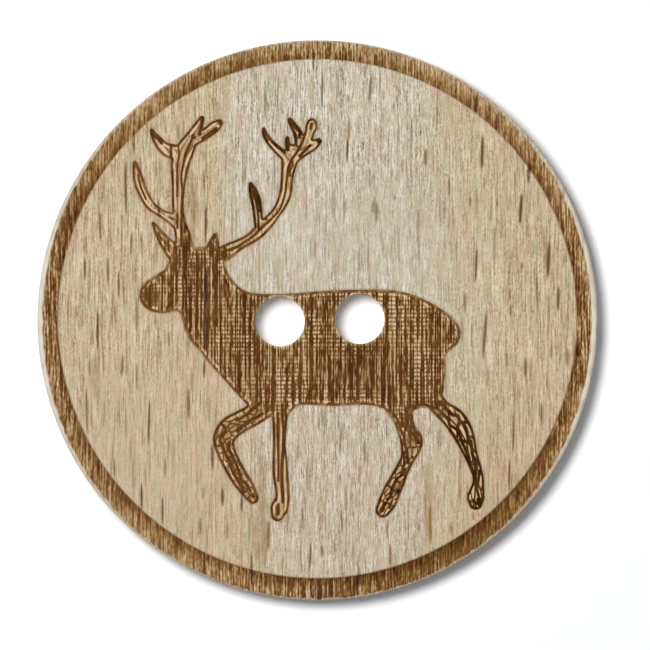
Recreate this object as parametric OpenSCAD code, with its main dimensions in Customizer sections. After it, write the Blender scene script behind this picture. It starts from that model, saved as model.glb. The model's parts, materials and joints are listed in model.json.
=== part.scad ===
// Round wooden sewing button with two holes. A stag and a ring are burnt into its front face.
// The back face lies at z = 0. +Y runs along the grain, toward the antlers.

/* [Disc] */
// Diameter of the button
button_d = 28; // [22:0.5:45]
// Thickness of the button
button_t = 3; // [2:0.1:6]
// Rounding of the front and back edges
edge_r = 0.2; // [0.05:0.05:0.6]

/* [Sewing holes] */
// Diameter of each hole
hole_d = 2.5; // [1.2:0.1:3.5]
// Distance between the centres of the two holes
hole_pitch = 4; // [3:0.1:7]
// How far the pair of holes sits to the right of the middle
hole_shift = 0.12; // [-0.5:0.02:0.5]
// Turn of the pair of holes, in degrees
hole_turn = 1.7; // [-10:0.1:10]

/* [Burnt ring] */
// Flat land between the rounded rim and the ring
ring_land = 0.05; // [0.05:0.05:1]
// Width of the ring
ring_w = 0.8; // [0.4:0.05:2]
// Depth of the ring
ring_depth = 0.1; // [0.04:0.01:0.3]
// Width of the deeper line along the inside of the ring
ring_line_w = 0.12; // [0.08:0.01:0.3]
// Depth of the deeper line, measured from the floor of the ring
ring_line_depth = 0.06; // [0.02:0.01:0.2]

/* [Burnt stag] */
// Clear wood between the ring and the farthest point of the stag
stag_gap = 0.5; // [0.2:0.1:3]
// Depth of the shaded inside of the stag
shade_depth = 0.12; // [0.04:0.01:0.3]
// Width of the line around the stag
outline_w = 0.15; // [0.08:0.01:0.25]
// Depth of that line, measured from the floor of the shading
outline_depth = 0.08; // [0.02:0.01:0.2]
// How far the burn spreads past the drawn edge
burn_spread = 0.02; // [0.01:0.01:0.06]

/* [Hidden] */
$fn = 96;

button_r = button_d/2;
ring_out_r = button_r - edge_r - ring_land;
ring_in_r = ring_out_r - ring_w;

// Straight pieces in each stretch of a curve, and in the round end of a limb
curve_steps = 3;
tip_steps = 6;

// How far each cutting shape stands clear of the face that it cuts
clear = 1;

// The stag is drawn walking to the left, in millimetres from the middle of the disc.
// Its farthest drawn point is the heel of the right hoof.
drawn_reach = 12.45;
stag_scale = (ring_in_r - stag_gap)/drawn_reach;

// Outline of the head, neck and body, from the forehead over the back and round to the muzzle
TRUNK = [
    [-7.42, 2.9], [-7.2, 3.35], [-6.6, 3.55], [-5.9, 3.62], [-5.4, 3.6], [-4.95, 3.4], [-4.66, 3.0],
    [-4.58, 2.6], [-4.4, 2.2], [-4.0, 1.7], [-3.55, 1.42], [-3.0, 1.3], [-2.0, 1.28], [-0.8, 1.34],
    [0.6, 1.46], [2.0, 1.5], [3.2, 1.5], [4.2, 1.4], [5.0, 1.16], [5.8, 0.77], [6.5, 0.3],
    [7.0, -0.2], [7.14, -0.65], [7.0, -1.15], [6.65, -1.45], [6.4, -1.8], [6.4, -2.4], [6.32, -3.1],
    [6.25, -3.7], [5.9, -4.3], [5.2, -4.35], [4.6, -4.55], [3.9, -4.6], [3.3, -4.38], [2.4, -4.2],
    [0.8, -4.26], [-0.8, -4.2], [-1.5, -4.5], [-2.3, -4.6], [-3.0, -4.5], [-3.45, -4.25],
    [-3.9, -3.78], [-4.85, -2.72], [-5.4, -2.12], [-5.88, -1.5], [-6.3, -1.02], [-6.56, -0.55],
    [-6.7, -0.05], [-6.83, 0.36], [-7.1, 0.48], [-7.6, 0.38], [-8.1, 0.42], [-8.5, 0.58],
    [-8.78, 0.88], [-8.87, 1.25], [-8.78, 1.62], [-8.5, 1.94], [-8.0, 2.26], [-7.6, 2.54]
];

// Limbs are lists of [x, y, width], from the root to the tip
EARS = [
    [[-6.9, 3.1, 0.8], [-7.25, 3.5, 0.78], [-7.55, 3.85, 0.6], [-7.82, 4.22, 0.42], [-8.05, 4.58, 0.26],
        [-8.21, 4.85, 0.12]],
    [[-5.3, 3.3, 0.75], [-5.2, 3.75, 0.56], [-5.13, 4.08, 0.34], [-5.06, 4.3, 0.14]]
];

// Left antler: the beam with its crown, then the tines from the top down
LEFT_ANTLER = [
    [[-6.6, 3.4, 0.9], [-6.72, 4.2, 0.75], [-6.92, 5.0, 0.58], [-6.98, 5.8, 0.54], [-6.95, 6.5, 0.6],
        [-6.91, 7.2, 0.74], [-6.84, 7.9, 0.92], [-6.62, 8.5, 0.9], [-6.25, 9.15, 0.66], [-5.95, 9.7, 0.44],
        [-5.78, 10.08, 0.24]],
    [[-6.35, 8.8, 0.4], [-5.95, 9.08, 0.46], [-5.7, 9.25, 0.5], [-5.42, 9.45, 0.52], [-5.1, 9.7, 0.52],
        [-4.9, 9.87, 0.34]],
    [[-6.95, 8.4, 0.7], [-7.35, 8.46, 0.68], [-7.7, 8.64, 0.56], [-8.0, 9.0, 0.42], [-8.2, 9.3, 0.26],
        [-8.28, 9.5, 0.14]],
    [[-6.9, 4.85, 0.75], [-7.35, 5.12, 0.52], [-7.85, 5.38, 0.36], [-8.35, 5.75, 0.42], [-8.7, 6.35, 0.48],
        [-8.92, 6.95, 0.5], [-9.04, 7.45, 0.36], [-9.12, 7.88, 0.15]]
];

// Right antler: the beam, then the tines from the lowest round to the right
RIGHT_ANTLER = [
    [[-5.2, 2.9, 0.7], [-4.8, 3.25, 0.75], [-4.35, 3.52, 0.68], [-3.9, 3.78, 0.52], [-3.4, 4.05, 0.5],
        [-2.95, 4.4, 0.58], [-2.5, 4.86, 0.56], [-2.12, 5.3, 0.46], [-1.82, 5.75, 0.5], [-1.6, 6.3, 0.58],
        [-1.53, 6.9, 0.58], [-1.47, 7.45, 0.63], [-1.38, 7.95, 0.78], [-1.2, 8.4, 0.8]],
    [[-2.85, 4.5, 0.5], [-2.95, 5.0, 0.42], [-3.0, 5.5, 0.44], [-3.07, 5.95, 0.48], [-3.18, 6.35, 0.44],
        [-3.28, 6.65, 0.3], [-3.33, 6.82, 0.16]],
    [[-1.4, 8.05, 0.6], [-1.75, 8.32, 0.44], [-2.1, 8.63, 0.36], [-2.4, 8.95, 0.3], [-2.6, 9.27, 0.26],
        [-2.68, 9.55, 0.16]],
    [[-1.35, 8.4, 0.3], [-1.47, 8.75, 0.24], [-1.49, 9.05, 0.2], [-1.5, 9.14, 0.12]],
    [[-0.85, 8.6, 0.55], [-0.88, 9.0, 0.5], [-0.98, 9.36, 0.42], [-1.17, 9.68, 0.33], [-1.36, 10.0, 0.24]],
    [[-0.75, 8.5, 0.5], [-0.52, 9.0, 0.48], [-0.38, 9.4, 0.46], [-0.3, 9.65, 0.58], [-0.27, 9.83, 0.5]],
    [[-1.1, 8.2, 0.6], [-0.6, 8.55, 0.55], [-0.2, 8.77, 0.5], [0.08, 8.96, 0.26]]
];

// Legs, from left to right
LEGS = [
    [[-2.6, -4.2, 1.3], [-3.2, -4.72, 1.06], [-3.85, -5.08, 1.06], [-4.38, -5.42, 1.12],
        [-4.68, -5.95, 1.04], [-4.55, -6.6, 0.9], [-4.22, -7.3, 0.86], [-3.86, -7.92, 0.84],
        [-3.5, -8.45, 0.76], [-3.22, -8.9, 0.54]],
    [[-1.6, -3.9, 1.4], [-1.85, -4.6, 0.85], [-1.88, -5.2, 0.68], [-1.9, -6.2, 0.58], [-1.87, -7.0, 0.7],
        [-1.83, -7.8, 0.74], [-1.75, -8.5, 0.66], [-1.75, -8.95, 0.68], [-1.9, -9.4, 0.85],
        [-1.98, -9.72, 0.64]],
    [[3.9, -3.6, 1.9], [4.15, -4.4, 1.35], [4.3, -4.95, 0.96], [4.45, -5.45, 0.9], [4.7, -6.0, 1.1],
        [4.66, -6.45, 0.94], [4.5, -6.95, 0.66], [4.28, -7.4, 0.66], [4.02, -7.95, 0.74], [3.76, -8.5, 0.84],
        [3.5, -9.1, 0.86], [3.27, -9.5, 0.7]],
    [[5.6, -3.7, 1.0], [6.2, -4.42, 0.86], [6.75, -4.85, 1.05], [7.15, -5.4, 1.08], [7.42, -5.98, 0.92],
        [7.63, -6.6, 0.68], [7.88, -7.28, 0.55], [8.05, -7.9, 0.5], [8.0, -8.45, 0.66], [7.92, -8.85, 0.85],
        [7.92, -9.12, 0.68]]
];

// Point at t on the smooth curve from b to c, where a comes before b and d after c
function curve_at(a, b, c, d, t) =
    (2*b + (c - a)*t + (2*a - 5*b + 4*c - d)*t*t + (3*b - a - 3*c + d)*t*t*t)/2;

// Smooth closed curve through the points p
function closed_curve(p) =
    let (n = len(p))
    [for (i = [0:n - 1], k = [0:curve_steps - 1])
        curve_at(p[(i + n - 1)%n], p[i], p[(i + 1)%n], p[(i + 2)%n], k/curve_steps)];

// Smooth curve through the points p, from the first to the last
function open_curve(p) =
    let (n = len(p), q = concat([2*p[0] - p[1]], p, [2*p[n - 1] - p[n - 2]]))
    concat(
        [for (i = [0:n - 2], k = [0:curve_steps - 1])
            curve_at(q[i], q[i + 1], q[i + 2], q[i + 3], k/curve_steps)],
        [p[n - 1]]
    );

// Unit vector to the left of the curve c at its point i
function left_of(c, i) =
    let (a = c[max(i - 1, 0)], b = c[min(i + 1, len(c) - 1)], along = [b.x - a.x, b.y - a.y])
    [-along.y, along.x]/norm(along);

// The vector v turned clockwise
function turned(v, angle) =
    [v.x*cos(angle) + v.y*sin(angle), v.y*cos(angle) - v.x*sin(angle)];

// One limb, cut square at its root and round at its tip
module limb(stations) {
    c = open_curve(stations);
    last = len(c) - 1;
    middle = [for (p = c) [p.x, p.y]];
    half = [for (p = c) p.z/2];
    left = [for (i = [0:last]) middle[i] + half[i]*left_of(c, i)];
    right = [for (i = [last:-1:0]) middle[i] - half[i]*left_of(c, i)];
    tip = [for (k = [1:tip_steps - 1])
        middle[last] + half[last]*turned(left_of(c, last), 180*k/tip_steps)];
    polygon(concat(left, tip, right));
}

// The stag's shape as burnt, grown or shrunk from the drawing
module stag(grow) {
    offset(delta = grow)
        scale(stag_scale) {
            polygon(closed_curve(TRUNK));
            for (stations = concat(EARS, LEFT_ANTLER, RIGHT_ANTLER, LEGS))
                limb(stations);
        }
}

// What the burning takes away for the stag: a line all round, with a shallower floor inside it
module stag_cut() {
    floor_z = button_t - shade_depth;
    line_z = floor_z - outline_depth;
    difference() {
        translate([0, 0, line_z])
            linear_extrude(button_t - line_z + clear)
                stag(burn_spread);
        translate([0, 0, line_z - clear])
            linear_extrude(floor_z - line_z + clear)
                stag(burn_spread - outline_w);
    }
}

// What the burning takes away for the ring, with the deeper line along its inside
module ring_cut() {
    floor_z = button_t - ring_depth;
    rotate_extrude() {
        translate([ring_in_r, floor_z])
            square([ring_w, ring_depth + clear]);
        translate([ring_in_r, floor_z - ring_line_depth])
            square([ring_line_w, ring_line_depth + ring_depth + clear]);
    }
}

// The plain disc with rounded edges
module disc() {
    rotate_extrude() {
        square([button_r - edge_r, button_t]);
        translate([0, edge_r])
            square([button_r, button_t - 2*edge_r]);
        for (z = [edge_r, button_t - edge_r])
            translate([button_r - edge_r, z])
                circle(edge_r);
    }
}

// The two sewing holes, square through the disc
module holes() {
    translate([hole_shift, 0, -clear])
        rotate(hole_turn)
            for (side = [-1, 1])
                translate([side*hole_pitch/2, 0, 0])
                    cylinder(h = button_t + 2*clear, d = hole_d);
}

module button() {
    color("burlywood")
        difference() {
            disc();
            ring_cut();
            stag_cut();
            holes();
        }
}

button();
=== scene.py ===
# %% [markdown]
# A round sewing button of beech, 28 mm across, with two thread holes. A ring and a walking stag are burnt
# into its front face, and the rest of the face is bare sanded wood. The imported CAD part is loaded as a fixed
# frame, in metres: the back lies at z = 0, and +Y runs along the grain. Lengths below are in millimetres,
# because every size on a button is a few tenths or a few whole millimetres, and they are turned to metres
# only where Blender needs them.

# %% Load the frame
import json
import math

import bpy
import numpy as np
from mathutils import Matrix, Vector, geometry, kdtree


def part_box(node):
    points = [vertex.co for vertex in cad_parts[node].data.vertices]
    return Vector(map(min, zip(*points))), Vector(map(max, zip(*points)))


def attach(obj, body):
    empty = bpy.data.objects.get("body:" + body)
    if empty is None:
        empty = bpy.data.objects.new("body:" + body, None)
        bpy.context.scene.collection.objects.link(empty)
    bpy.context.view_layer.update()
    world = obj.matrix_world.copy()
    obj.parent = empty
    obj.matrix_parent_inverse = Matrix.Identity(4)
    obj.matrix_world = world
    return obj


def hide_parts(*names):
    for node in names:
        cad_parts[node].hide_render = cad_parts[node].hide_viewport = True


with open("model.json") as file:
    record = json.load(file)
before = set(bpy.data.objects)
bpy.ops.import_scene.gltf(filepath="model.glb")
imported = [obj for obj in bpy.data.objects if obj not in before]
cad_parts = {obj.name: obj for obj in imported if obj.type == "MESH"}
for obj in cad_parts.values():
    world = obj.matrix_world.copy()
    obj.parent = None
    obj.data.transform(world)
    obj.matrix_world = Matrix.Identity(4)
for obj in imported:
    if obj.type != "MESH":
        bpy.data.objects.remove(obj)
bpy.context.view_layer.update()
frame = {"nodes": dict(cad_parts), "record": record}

MM = 0.001
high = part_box("button")[1]    # its highest corner
TOP = high.z / MM
BUTTON_R = high.x / MM
print("button", round(2 * BUTTON_R, 3), "mm across and", round(TOP, 3), "mm thick")

# %% [markdown]
# The picture is taken straight from above with the grain upright. A very long lens, far away, keeps the
# sides of the button and the walls of its holes out of sight, as in the photograph, and shows the shadow at
# its full width. The camera needs no turn at all: an unturned camera looks down -Z with +Y up.

# %% Camera
VIEW_W = 32.5                # what the picture's width covers at the front face
VIEW_AT = (0.382, -0.238)
LENS = 1000
SENSOR = 36

camera = bpy.data.cameras.new("camera")
camera.lens = LENS
camera.sensor_width = SENSOR
camera.clip_start = 10 * MM
camera_z = TOP + VIEW_W * LENS / SENSOR
camera_object = bpy.data.objects.new("camera", camera)
camera_object.location = (VIEW_AT[0] * MM, VIEW_AT[1] * MM, camera_z * MM)
bpy.context.scene.collection.objects.link(camera_object)
bpy.context.scene.camera = camera_object
bpy.context.scene.view_settings.view_transform = "Standard"
print("camera", round(camera_z), "mm above the table")

# %% [markdown]
# Nodes for the world, the floor, the wood and the carving are all added by one small function. It takes the
# kind of node, its inputs by name or number, the steps of a colour ramp, and its settings. An input that is
# another node's output is linked, and any other value is set. Colours are written as sRGB hex, which is how a
# paint program gives them, and one function turns them to the linear values that the renderer works in. The
# kinds and settings that are used most get short names.

# %% Two helpers
def linear(hex_colour):
    """The linear RGBA of an sRGB colour such as #C2B096."""
    parts = [int(hex_colour[i:i + 2], 16) / 255 for i in (1, 3, 5)]
    return tuple(c / 12.92 if c < 0.04045 else ((c + 0.055) / 1.055) ** 2.4 for c in parts) + (1.0,)


def add(tree, kind, inputs=None, out=0, steps=None, **settings):
    """Adds a node with its settings, links and colour steps, and returns one of its outputs."""
    node = tree.nodes.new(kind)
    for name, value in settings.items():
        setattr(node, name, value)
    for name, value in (inputs or {}).items():
        if isinstance(value, bpy.types.NodeSocket):
            tree.links.new(value, node.inputs[name])
        else:
            node.inputs[name].default_value = value
    for k, (at, colour) in enumerate(steps or []):
        elements = node.color_ramp.elements
        element = elements[k] if k < len(elements) else elements.new(at)
        element.position = at
        element.color = linear(colour)
    return node.outputs[out] if node.outputs else None


print("mid grey is", round(linear("#808080")[0], 3), "in linear light")

# %% Short names
MATH = "ShaderNodeMath"
VECTOR = "ShaderNodeVectorMath"
SEPARATE = "ShaderNodeSeparateXYZ"
COMBINE = "ShaderNodeCombineXYZ"
NOISE = "ShaderNodeTexNoise"
RANGE = "ShaderNodeMapRange"
MIX = "ShaderNodeMix"
TIMES = {"operation": "MULTIPLY"}
PLUS = {"operation": "ADD"}
MINUS = {"operation": "SUBTRACT"}
OVER = {"operation": "DIVIDE"}
LARGER = {"operation": "MAXIMUM"}
UNSIGNED = {"operation": "ABSOLUTE"}
TIMES_PLUS = {"operation": "MULTIPLY_ADD"}
SMOOTH = {"interpolation_type": "SMOOTHSTEP"}    # a step with rounded ends
COLOUR = {"data_type": "RGBA", "out": 2}         # a Mix of colours has its own sockets, 6 and 7
print("short names ready")

# %% [markdown]
# The light is one round soft lamp, 340 mm above the table and a little to the upper left. It is near enough
# that the shadow comes out slightly bigger than the button, so a soft dark edge shows to the right, round
# the upper right and along the bottom. A disc lamp of P watts lights a surface that faces it from d metres
# away to P / (pi d d), and a white surface needs pi to look like 1. The lamp gives most of that and the pale
# room the rest, so each colour renders about as it is written.

# %% Lamp
LAMP_SHARE = 0.9
LAMP_UP = 340
LAMP_ASIDE = 58
LAMP_D = 70
LAMP_WAY = math.radians(142)      # from +X, so the shadow falls the other way, to the lower right

lamp_place = Vector((LAMP_ASIDE * math.cos(LAMP_WAY), LAMP_ASIDE * math.sin(LAMP_WAY), LAMP_UP)) * MM
to_button = Vector((0, 0, TOP * MM)) - lamp_place
lamp = bpy.data.lights.new("studio lamp", "AREA")
lamp.shape = "DISK"
lamp.size = LAMP_D * MM
lamp.energy = LAMP_SHARE * math.pi**2 * to_button.length_squared
lamp_object = bpy.data.objects.new("studio lamp", lamp)
lamp_object.location = lamp_place
lamp_object.rotation_euler = to_button.to_track_quat("-Z", "Y").to_euler()
lamp_object.visible_camera = False
bpy.context.scene.collection.objects.link(lamp_object)
print("lamp", round(to_button.length / MM), "mm away,", round(lamp.energy, 2), "W")

# %% Room light
world = bpy.data.worlds.new("pale room")
world.use_nodes = True
bpy.context.scene.world = world
room = world.node_tree
room.nodes.clear()
seen = 0.0                    # 1 for a ray that shows the room as a background, 0 for one that lights
for kind in ("Is Camera Ray", "Is Glossy Ray", "Is Transmission Ray"):
    ray = add(room, "ShaderNodeLightPath", out=kind)
    seen = add(room, MATH, {0: seen, 1: ray}, **LARGER)
room_level = add(room, RANGE, {"Value": seen, "To Min": 1 - LAMP_SHARE, "To Max": 1.0})
cool = add(room, MIX, {"Factor": seen, 6: linear("#EDF4FF"), 7: linear("#FFFFFF")}, **COLOUR)
white = add(room, "ShaderNodeBackground", {"Color": cool, "Strength": room_level})
add(room, "ShaderNodeOutputWorld", {"Surface": white})
print("room gives", round(1 - LAMP_SHARE, 2), "of the light")

# %% Floor
FLOOR_HALF = 400
FLOOR_GAP = 0.01              # keeps the floor from sharing a plane with the back of the button
FLOOR_GLOW = 0.1              # lifts the paper to white in the picture, without lighting the button

paper = bpy.data.materials.new("white paper, matte")
paper.use_nodes = True
sheet = paper.node_tree
sheet.nodes.clear()
matte = add(sheet, "ShaderNodeBsdfDiffuse", {"Color": linear("#FDFDFD")})
to_camera = add(sheet, "ShaderNodeLightPath", out="Is Camera Ray")
glow = add(sheet, MATH, {0: to_camera, 1: FLOOR_GLOW}, **TIMES)
lift = add(sheet, "ShaderNodeEmission", {"Color": linear("#E6EFFF"), "Strength": glow})
both = add(sheet, "ShaderNodeAddShader", {0: matte, 1: lift})
add(sheet, "ShaderNodeOutputMaterial", {"Surface": both})

floor_mesh = bpy.data.meshes.new("floor")
square = ((-1, -1), (1, -1), (1, 1), (-1, 1))
corners = [(x * FLOOR_HALF * MM, y * FLOOR_HALF * MM, -FLOOR_GAP * MM) for x, y in square]
floor_mesh.from_pydata(corners, [], [(0, 1, 2, 3)])
floor_mesh.materials.append(paper)
floor = bpy.data.objects.new("floor", floor_mesh)
bpy.context.scene.collection.objects.link(floor)
print("floor", 2 * FLOOR_HALF, "mm square")

# %% [markdown]
# The burnt shapes start at the edges of the CAD part's flat front face. Those edges are read from the CAD
# mesh rather than drawn again, so the wood that is seen sits exactly where the solid is. An edge that only
# one flat triangle uses is a border. Walking along the borders gives closed loops: the rim, the two edges
# of the ring, and the stag.

# %% Borders of the flat front face
cad_mesh = frame["nodes"]["button"].data
cad_mesh.calc_loop_triangles()
WELD = 4                      # decimals of a millimetre at which two corners count as one
LEVEL = 1e-3                  # a corner this near the top lies on the front face
cad_points = [(round(v.co.x / MM, WELD), round(v.co.y / MM, WELD)) for v in cad_mesh.vertices]
on_top = [abs(v.co.z / MM - TOP) < LEVEL for v in cad_mesh.vertices]
directed = set()
for triangle in cad_mesh.loop_triangles:
    a, b, c = triangle.vertices
    if on_top[a] and on_top[b] and on_top[c]:
        for start, end in ((a, b), (b, c), (c, a)):
            directed.add((cad_points[start], cad_points[end]))
after = {start: end for start, end in directed if (end, start) not in directed}
borders = []
while after:
    first, here = after.popitem()
    loop = [first]
    while here != first:
        loop.append(here)
        here = after.pop(here)
    borders.append(np.array(loop))
reach = [float(np.hypot(*loop.T).max()) for loop in borders]
print("borders reach", sorted(round(r, 2) for r in reach), "mm from the middle")

# %% Ring and rim
RING_LEAST = 12.8             # only the rim and the ring reach further than this
radii = sorted((r for r in reach if r > RING_LEAST), reverse=True)
RIM_R = radii[0]
RING_OUT = radii[1]
RING_IN = radii[-1]
EDGE_R = BUTTON_R - RIM_R
print("rim", round(RIM_R, 2), "ring", round(RING_IN, 2), "to", round(RING_OUT, 2))

# %% Stag outline
STEP = 0.055                  # spacing of points along the outline


def evenly(points, step, closed):
    """Points at an even spacing along a line."""
    path = np.vstack([points, points[:1]]) if closed else np.asarray(points, float)
    lengths = np.hypot(*np.diff(path, axis=0).T)
    travelled = np.concatenate([[0], np.cumsum(lengths)])
    count = max(2, round(travelled[-1] / step))
    where = np.linspace(0, travelled[-1], count + 1)
    if closed:
        where = where[:-1]
    return np.column_stack([np.interp(where, travelled, path[:, i]) for i in (0, 1)])


def relaxed(points):
    """A closed line with its small corners eased."""
    return (2 * points + np.roll(points, 1, 0) + np.roll(points, -1, 0)) / 4


stag_loops = []
for loop, r in zip(borders, reach):
    if r < RING_LEAST:
        stag_loops.append(relaxed(evenly(loop, STEP, True)))
print("stag outline", [len(loop) for loop in stag_loops], "points")

# %% [markdown]
# Inside the stag, the burning left more dark lines: along the antlers, in the ears and in the legs. They are
# drawn here as short strokes, each with half its width and a few points that a smooth curve runs
# through. A stroke is only a place on the wood. The carving and the colour both read how far each point lies
# from the nearest stroke, so the two always agree.

# %% Strokes in the left antler and the ears
LEFT_ANTLER_STROKES = [
    (0.035, [(-8.98, 7.3), (-8.85, 6.75), (-8.7, 6.35), (-8.57, 6.05)]),
    (0.06, [(-8.62, 5.66), (-8.55, 5.55)]),
    (0.05, [(-8.0, 5.22), (-7.9, 5.18)]),
    (0.04, [(-7.35, 5.12), (-7.22, 5.06)]),
    (0.03, [(-6.95, 8.7), (-6.92, 8.2), (-7.0, 7.7), (-7.02, 7.2), (-7.02, 6.2)]),
    (0.04, [(-7.0, 5.3), (-7.0, 4.6)]),
    (0.04, [(-6.18, 9.3), (-6.3, 9.0), (-6.45, 8.65), (-6.6, 8.3), (-6.7, 7.8), (-6.8, 7.2), (-6.73, 6.3)]),
    (0.06, [(-6.73, 6.4), (-6.75, 5.8), (-6.78, 5.4)]),
    (0.04, [(-6.78, 5.4), (-6.8, 4.8), (-6.8, 4.3), (-6.8, 3.7)]),
    (0.05, [(-6.6, 4.85), (-6.62, 4.4)]),
    (0.05, [(-6.42, 4.6), (-6.42, 3.5)]),
    (0.05, [(-7.32, 8.8), (-7.32, 8.3), (-7.3, 8.0)]),
    (0.08, [(-5.75, 10.1), (-5.78, 9.75), (-5.9, 9.3)]),
    (0.08, [(-6.22, 9.22), (-6.16, 9.14)]),
    (0.09, [(-4.9, 9.95), (-4.87, 9.86)]),
    (0.06, [(-5.05, 9.6), (-5.4, 9.35), (-5.75, 9.1)]),
    (0.06, [(-8.33, 9.55), (-8.2, 9.25), (-7.95, 9.05), (-7.8, 8.85)]),
]
EAR_STROKES = [
    (0.035, [(-7.95, 4.4), (-7.78, 4.0)]),
    (0.03, [(-7.65, 3.95), (-7.6, 3.5)]),
    (0.03, [(-7.45, 4.0), (-7.42, 3.4)]),
    (0.03, [(-7.1, 3.9), (-7.1, 3.3)]),
    (0.07, [(-5.15, 4.25), (-5.14, 4.15)]),
    (0.04, [(-5.3, 3.9), (-5.3, 3.2)]),
    (0.04, [(-4.92, 3.9), (-4.9, 3.0)]),
    (0.04, [(-4.66, 3.7), (-4.66, 3.0)]),
]
print(len(LEFT_ANTLER_STROKES) + len(EAR_STROKES), "strokes in the left antler and the ears")

# %% Strokes in the right antler
RIGHT_ANTLER_STROKES = [
    (0.1, [(-3.33, 6.8), (-3.28, 6.66)]),
    (0.04, [(-3.36, 6.66), (-3.26, 6.1), (-3.17, 5.5), (-3.12, 5.0)]),
    (0.1, [(-3.15, 6.55), (-3.04, 6.0), (-2.93, 5.5)]),
    (0.04, [(-3.08, 6.0), (-3.0, 5.5), (-2.95, 5.1), (-2.95, 4.6)]),
    (0.06, [(-2.62, 5.12), (-2.58, 5.06)]),
    (0.045, [(-4.5, 3.5), (-4.0, 3.68), (-3.6, 3.95), (-3.3, 4.15), (-2.65, 4.75)]),
    (0.04, [(-2.65, 4.75), (-2.3, 5.05), (-1.85, 5.6), (-1.6, 6.4), (-1.55, 6.9), (-1.5, 7.2)]),
    (0.05, [(-1.5, 7.2), (-1.45, 7.6), (-1.3, 8.0), (-1.1, 8.3), (-0.9, 8.6), (-0.75, 8.95), (-0.6, 9.3)]),
    (0.03, [(-1.35, 7.2), (-1.35, 7.5), (-1.22, 7.75), (-1.25, 8.0)]),
    (0.07, [(-0.88, 8.22), (-0.8, 8.18)]),
    (0.07, [(-2.7, 9.55), (-2.62, 9.2), (-2.5, 8.95)]),
    (0.04, [(-2.4, 9.05), (-2.0, 8.65), (-1.6, 8.35)]),
    (0.05, [(-1.52, 9.15), (-1.45, 8.9), (-1.45, 8.5)]),
    (0.06, [(-1.4, 10.1), (-1.28, 9.85), (-1.1, 9.65), (-0.9, 9.42), (-0.88, 9.15)]),
    (0.04, [(-1.15, 9.4), (-1.05, 9.1), (-1.03, 8.7)]),
    (0.05, [(-0.28, 9.85), (-0.35, 9.6)]),
    (0.07, [(0.17, 9.0), (0.05, 8.94)]),
    (0.05, [(-0.35, 8.75), (-0.6, 8.5), (-0.85, 8.25)]),
]
print(len(RIGHT_ANTLER_STROKES), "strokes in the right antler")

# %% Strokes in the forelegs
FORELEG_STROKES = [
    (0.07, [(-2.83, -4.12), (-3.2, -4.41), (-3.43, -4.64)]),
    (0.05, [(-3.43, -4.64), (-3.58, -4.75), (-3.84, -4.9), (-4.03, -5.01)]),
    (0.05, [(-2.75, -4.67), (-2.98, -4.82), (-3.2, -4.94), (-3.47, -5.09)]),
    (0.075, [(-3.47, -5.09), (-3.65, -5.24), (-3.84, -5.39), (-3.99, -5.54)]),
    (0.05, [(-4.72, -5.25), (-4.66, -5.3), (-4.59, -5.5), (-4.78, -5.8), (-4.89, -6.02)]),
    (0.05, [(-4.89, -6.02), (-4.78, -6.17), (-4.7, -6.4), (-4.59, -6.7), (-4.51, -6.88)]),
    (0.06, [(-4.4, -6.1), (-4.42, -6.47), (-4.29, -6.7), (-4.18, -6.92), (-4.03, -7.26), (-3.84, -7.78)]),
    (0.055, [(-4.45, -6.9), (-4.33, -7.1), (-4.33, -7.33), (-4.14, -7.75), (-3.95, -8.04), (-3.65, -8.6)]),
    (0.045, [(-3.86, -7.8), (-3.76, -8.04), (-3.58, -8.19), (-3.35, -8.53)]),
    (0.08, [(-3.26, -8.72), (-3.2, -8.8)]),
    (0.04, [(-1.98, -4.6), (-1.98, -6.0), (-1.95, -7.0), (-1.96, -8.05)]),
    (0.05, [(-1.76, -4.2), (-1.74, -4.9), (-1.7, -5.5)]),
    (0.07, [(-1.68, -5.4), (-1.7, -6.4)]),
    (0.06, [(-1.7, -6.3), (-1.76, -7.4), (-1.75, -8.4), (-1.72, -9.1)]),
    (0.04, [(-1.58, -4.4), (-1.58, -5.5)]),
    (0.05, [(-1.95, -9.2), (-1.96, -9.7)]),
]
print(len(FORELEG_STROKES), "strokes in the forelegs")

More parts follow.
